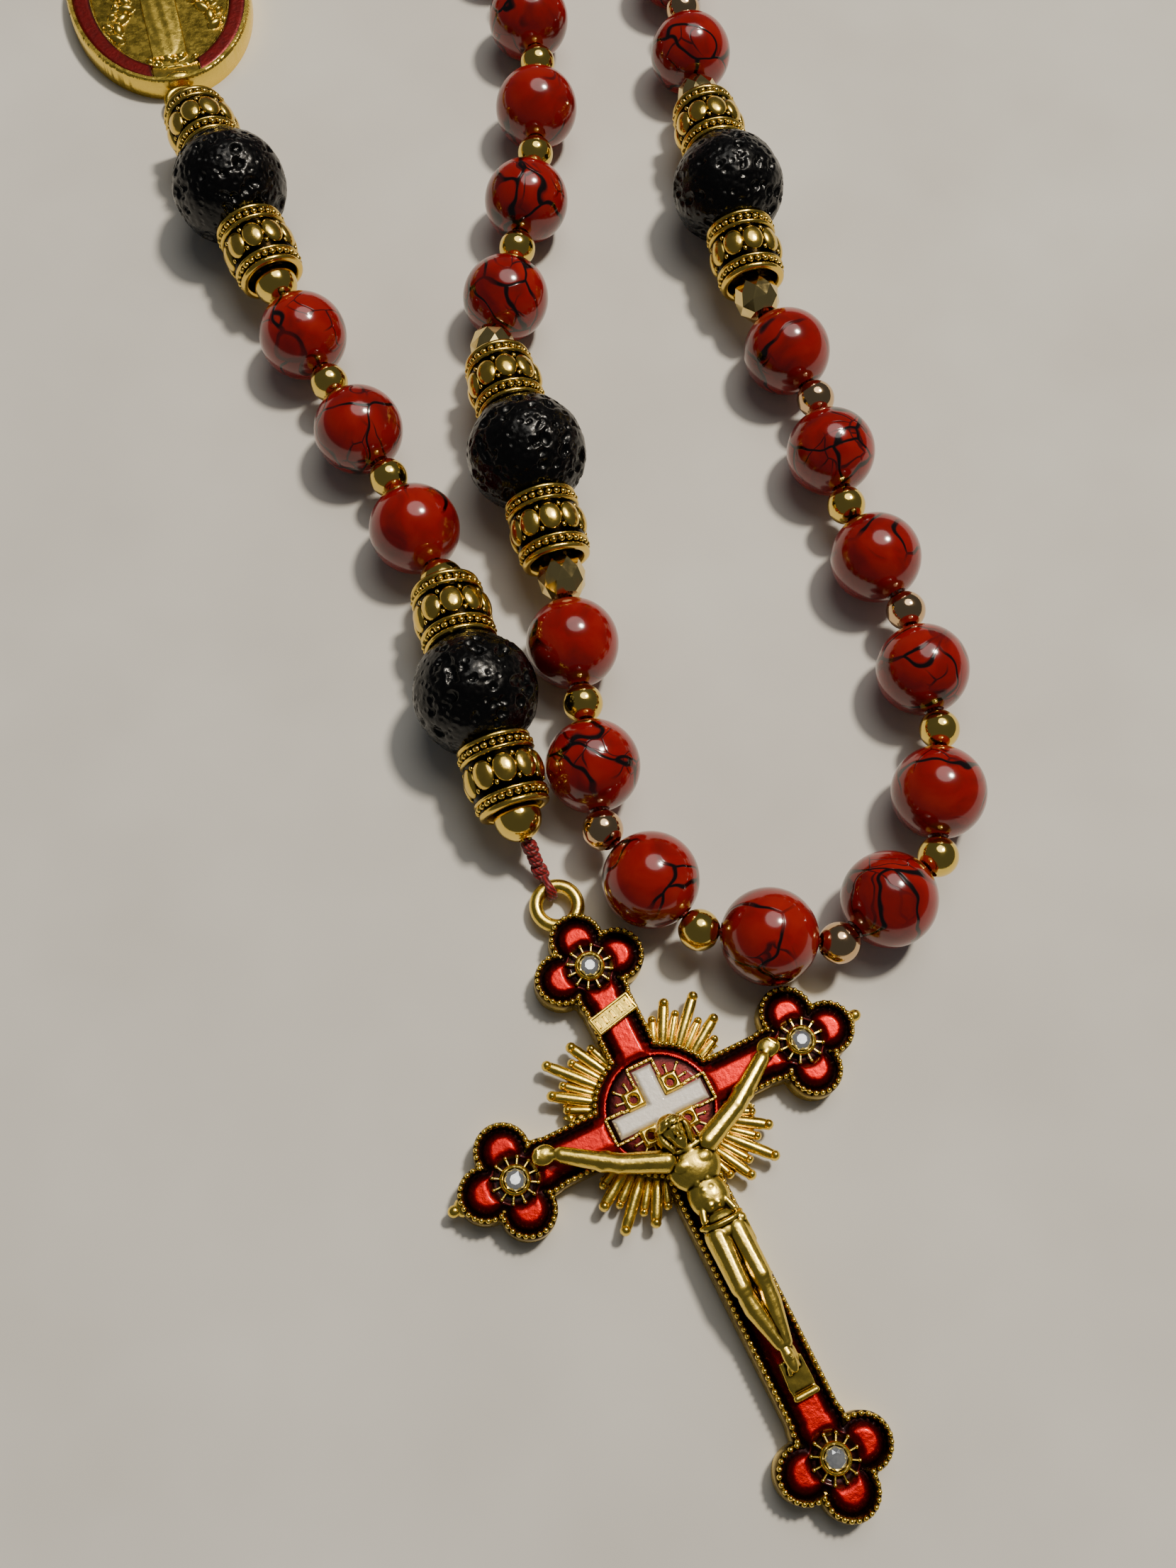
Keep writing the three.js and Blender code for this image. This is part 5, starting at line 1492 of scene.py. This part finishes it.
def clothParts():
    # Cloth: a rolled hem across the hips, slanting folds, and a knot with a hanging end at the hip
    parts = [ball((0.08, -10.35, 3.85), (1.68, 1.25, 1.0), 26, 16)]
    hem = [Vector((1.68 * math.sin(a) + 0.08, -9.55 - 0.32 * math.cos(a), 3.9 + 0.98 * math.cos(a)))
           for a in np.linspace(-1.5, 1.5, 15)]
    parts.append(tube(hem, 0.21, 10))
    for i in range(6):
        foldEnd = (-1.45 + 0.52 * i, -11.55 - 0.18 * (i % 2), 4.55 - 0.12 * abs(i - 2.5))
        parts += capsule((1.3 - 0.1 * i, -9.95 - 0.1 * i, 4.6), foldEnd, 0.15, 0.11)
    parts.append(ball((1.5, -10.1, 4.45), (0.42, 0.36, 0.34), 14, 10))
    for shift in (0, 0.28):
        parts += capsule((1.55 + shift * 0.4, -10.3, 4.4), (1.5 + shift, -12.2 + shift, 4.05), 0.2, 0.15)
    for x, foot in ((-1.3, -11.6), (-0.7, -11.8), (-0.05, -12.9), (0.22, -12.4), (0.8, -11.8)):
        parts += capsule((x, -11.0, 4.55), (x * 0.95, foot, 4.6), 0.2, 0.13)
    return parts


def headParts():
    # Head bowed to its right, with parted wavy hair, short beard and a twisted crown
    cx, cy, cz = -0.28, -2.25, 4.62
    parts = [ball((cx, cy, cz), (0.78, 1.0, 0.9), 22, 16),
             ball((cx, cy - 0.62, cz + 0.28), (0.56, 0.6, 0.56), 16, 12),
             ball((cx - 0.02, cy + 0.38, cz - 0.1), (1.02, 0.98, 0.98), 20, 14)]
    parts += capsule((0.02, -3.9, 4.1), (-0.18, -2.9, 4.3), 0.5, 0.48)
    for side in (-1, 1):
        parts += capsule((cx + side * 0.12, cy + 0.22, cz + 0.83), (cx + side * 0.44, cy + 0.14, cz + 0.72),
                         0.1, 0.08, 4, 8)
        parts.append(ball((cx + side * 0.29, cy - 0.04, cz + 0.75), (0.15, 0.09, 0.1), 12, 8))
        parts.append(ball((cx + side * 0.36, cy - 0.34, cz + 0.62), (0.2, 0.2, 0.16), 12, 8))
        parts += capsule((cx + side * 0.04, cy - 0.52, cz + 0.86), (cx + side * 0.32, cy - 0.66, cz + 0.7),
                         0.09, 0.06, 4, 8)
        for i in range(3):
            out, down = 0.86 + 0.13 * i, 1.5 - 0.12 * i
            lock = [Vector((cx + side * (out + 0.12 * math.sin(5 * t + i)),
                            cy + 0.5 - 0.2 * i - down * t * 1.15, cz + 0.28 - 0.22 * i - 0.2 * t))
                    for t in np.linspace(0, 1, 9)]
            parts.append(tube(lock, [0.2, 0.22, 0.23, 0.23, 0.22, 0.21, 0.19, 0.16, 0.1], 9))
    parts += capsule((cx, cy + 0.16, cz + 0.86), (cx, cy - 0.32, cz + 1.04), 0.09, 0.14, 5, 10)
    for i in range(5):
        x = cx + 0.15 * (i - 2)
        beardTip = (cx + 0.09 * (i - 2), cy - 1.32 + 0.07 * abs(i - 2), cz + 0.42)
        parts += capsule((x, cy - 0.78, cz + 0.62), beardTip, 0.15, 0.1, 5, 8)
    parts.append(ball((cx, cy - 0.73, cz + 0.84), (0.17, 0.05, 0.07), 10, 8))
    for i in range(9):
        a = math.radians(-64 + 16 * i)
        root = Vector((cx + 0.05 * math.sin(a), cy + 0.95, cz + 0.35))
        tip = Vector((cx + 0.98 * math.sin(a), cy + 0.35 + 0.12 * math.cos(a),
                      cz + 0.15 + 0.72 * math.cos(a)))
        middle = root.lerp(tip, 0.5) + Vector((0.1 * math.sin(a), 0.18, 0.26))
        parts.append(tube([root, middle, tip], [0.1, 0.15, 0.1], 8))
    for shift in (0, math.pi):
        twist = []
        for a in np.linspace(0, 2 * math.pi, 49)[:-1]:
            out = 1.0 + 0.1 * math.cos(9 * a + shift)
            lift = 0.12 * math.sin(9 * a + shift)
            twist.append(Vector((cx + 1.02 * out * math.sin(a), cy + 0.5 + lift + 0.1 * math.cos(a),
                                 cz - 0.1 + out * math.cos(a))))
        parts.append(tube(twist, 0.13, 8, closed=True))
    return parts


def addFigure():
    centre = Vector((-0.28, -2.25, 4.5))
    # The head is turned and enlarged about its own middle
    larger = Matrix.Rotation(math.radians(8), 4, "Z") @ Matrix.Scale(1.12, 4)
    place = Matrix.Translation(centre) @ larger @ Matrix.Translation(-centre)
    head = [moved(part, place) for part in headParts()]
    parts = bodyParts() + armParts() + footParts() + clothParts() + head
    mesh = sculpted("castFigure", parts, 0.085, 2, castGold)
    addPiece("crucifix_figure", mesh, "crucifix", ("crucifix_corpus",), crossMatrix)


addFigure()
print("figure made")

# Table, light and camera

studio = {"floor": "#DAD8D2", "keyPower": 13.0, "keySize": 0.15, "fillPower": 3.2, "fillSize": 0.75,
          "world": 0.13}


def tableTop():
    # Pale laminate, matt: hardly any mottling
    finish, tree, shader, inMm = startMaterial("mattPaleLaminate", "", {"Roughness": 0.75, "IOR": 1.5})
    mottle = addNode(tree, "ShaderNodeTexNoise", {}, {"Scale": 0.05, "Detail": 3}, {"Vector": inMm})
    colour = addNode(tree, "ShaderNodeValToRGB", links={"Fac": mottle.outputs["Fac"]},
                     stops=[(0.3, "#CFCCC5"), (0.7, studio["floor"])])
    tree.links.new(colour.outputs["Color"], shader.inputs["Base Color"])
    return finish["material"]


floorMesh = bpy.data.meshes.new("tableTop")
floorMesh.from_pydata([(-4, -4, 0), (4, -4, 0), (4, 4, 0), (-4, 4, 0)], [], [(0, 1, 2, 3)])
floorMesh.materials.append(tableTop())
floor = bpy.data.objects.new("table_top", floorMesh)
bpy.context.scene.collection.objects.link(floor)


def addLight(name, power, size, place, aim, tint):
    light = bpy.data.lights.new(name, "AREA")
    light.shape, light.energy, light.size = "DISK", power, size
    light.color = linearColour(tint)[:3]
    lamp = bpy.data.objects.new(name, light)
    bpy.context.scene.collection.objects.link(lamp)
    lamp.location = place
    lamp.rotation_mode = "QUATERNION"
    lamp.rotation_quaternion = (Vector(aim) - Vector(place)).to_track_quat("-Z", "Y")


# Key: a small soft lamp high up on the far right. Fill: a wide round panel overhead, towards the far end.
addLight("key", studio["keyPower"], studio["keySize"], (0.38, 0.33, 1.06), (0.03, -0.06, 0.0), "#FFF3E0")
addLight("fill", studio["fillPower"], studio["fillSize"], (0.1, 0.36, 0.95), (0.0, -0.04, 0.0), "#FFFBF2")

world = bpy.data.worlds.new("studio")
bpy.context.scene.world = world
world.use_nodes = True
world.node_tree.nodes["Background"].inputs["Color"].default_value = linearColour("#C8CCD2")
world.node_tree.nodes["Background"].inputs["Strength"].default_value = studio["world"]

# The camera looks down at the near end of the layout, tilted 21 degrees from straight down
view = {"place": (-6.09, -49.60, 129.49), "way": (0.04387, 0.35731, -0.93295), "lens": 37.116}
way = Vector(view["way"]).normalized()
right = way.cross(Vector((0, 1, 0))).normalized()
up = right.cross(way)
camera = bpy.data.objects.new("camera", bpy.data.cameras.new("camera"))
camera.data.lens = view["lens"]
camera.data.clip_start, camera.data.clip_end = 0.005, 20
camera.matrix_world = Matrix(((right.x, up.x, -way.x, 0), (right.y, up.y, -way.y, 0),
                              (right.z, up.z, -way.z, 0), (0, 0, 0, 1)))
camera.location = (Vector(view["place"]) + Vector((layoutShift.x, layoutShift.y, 0))) * mm
bpy.context.scene.collection.objects.link(camera)
bpy.context.scene.camera = camera
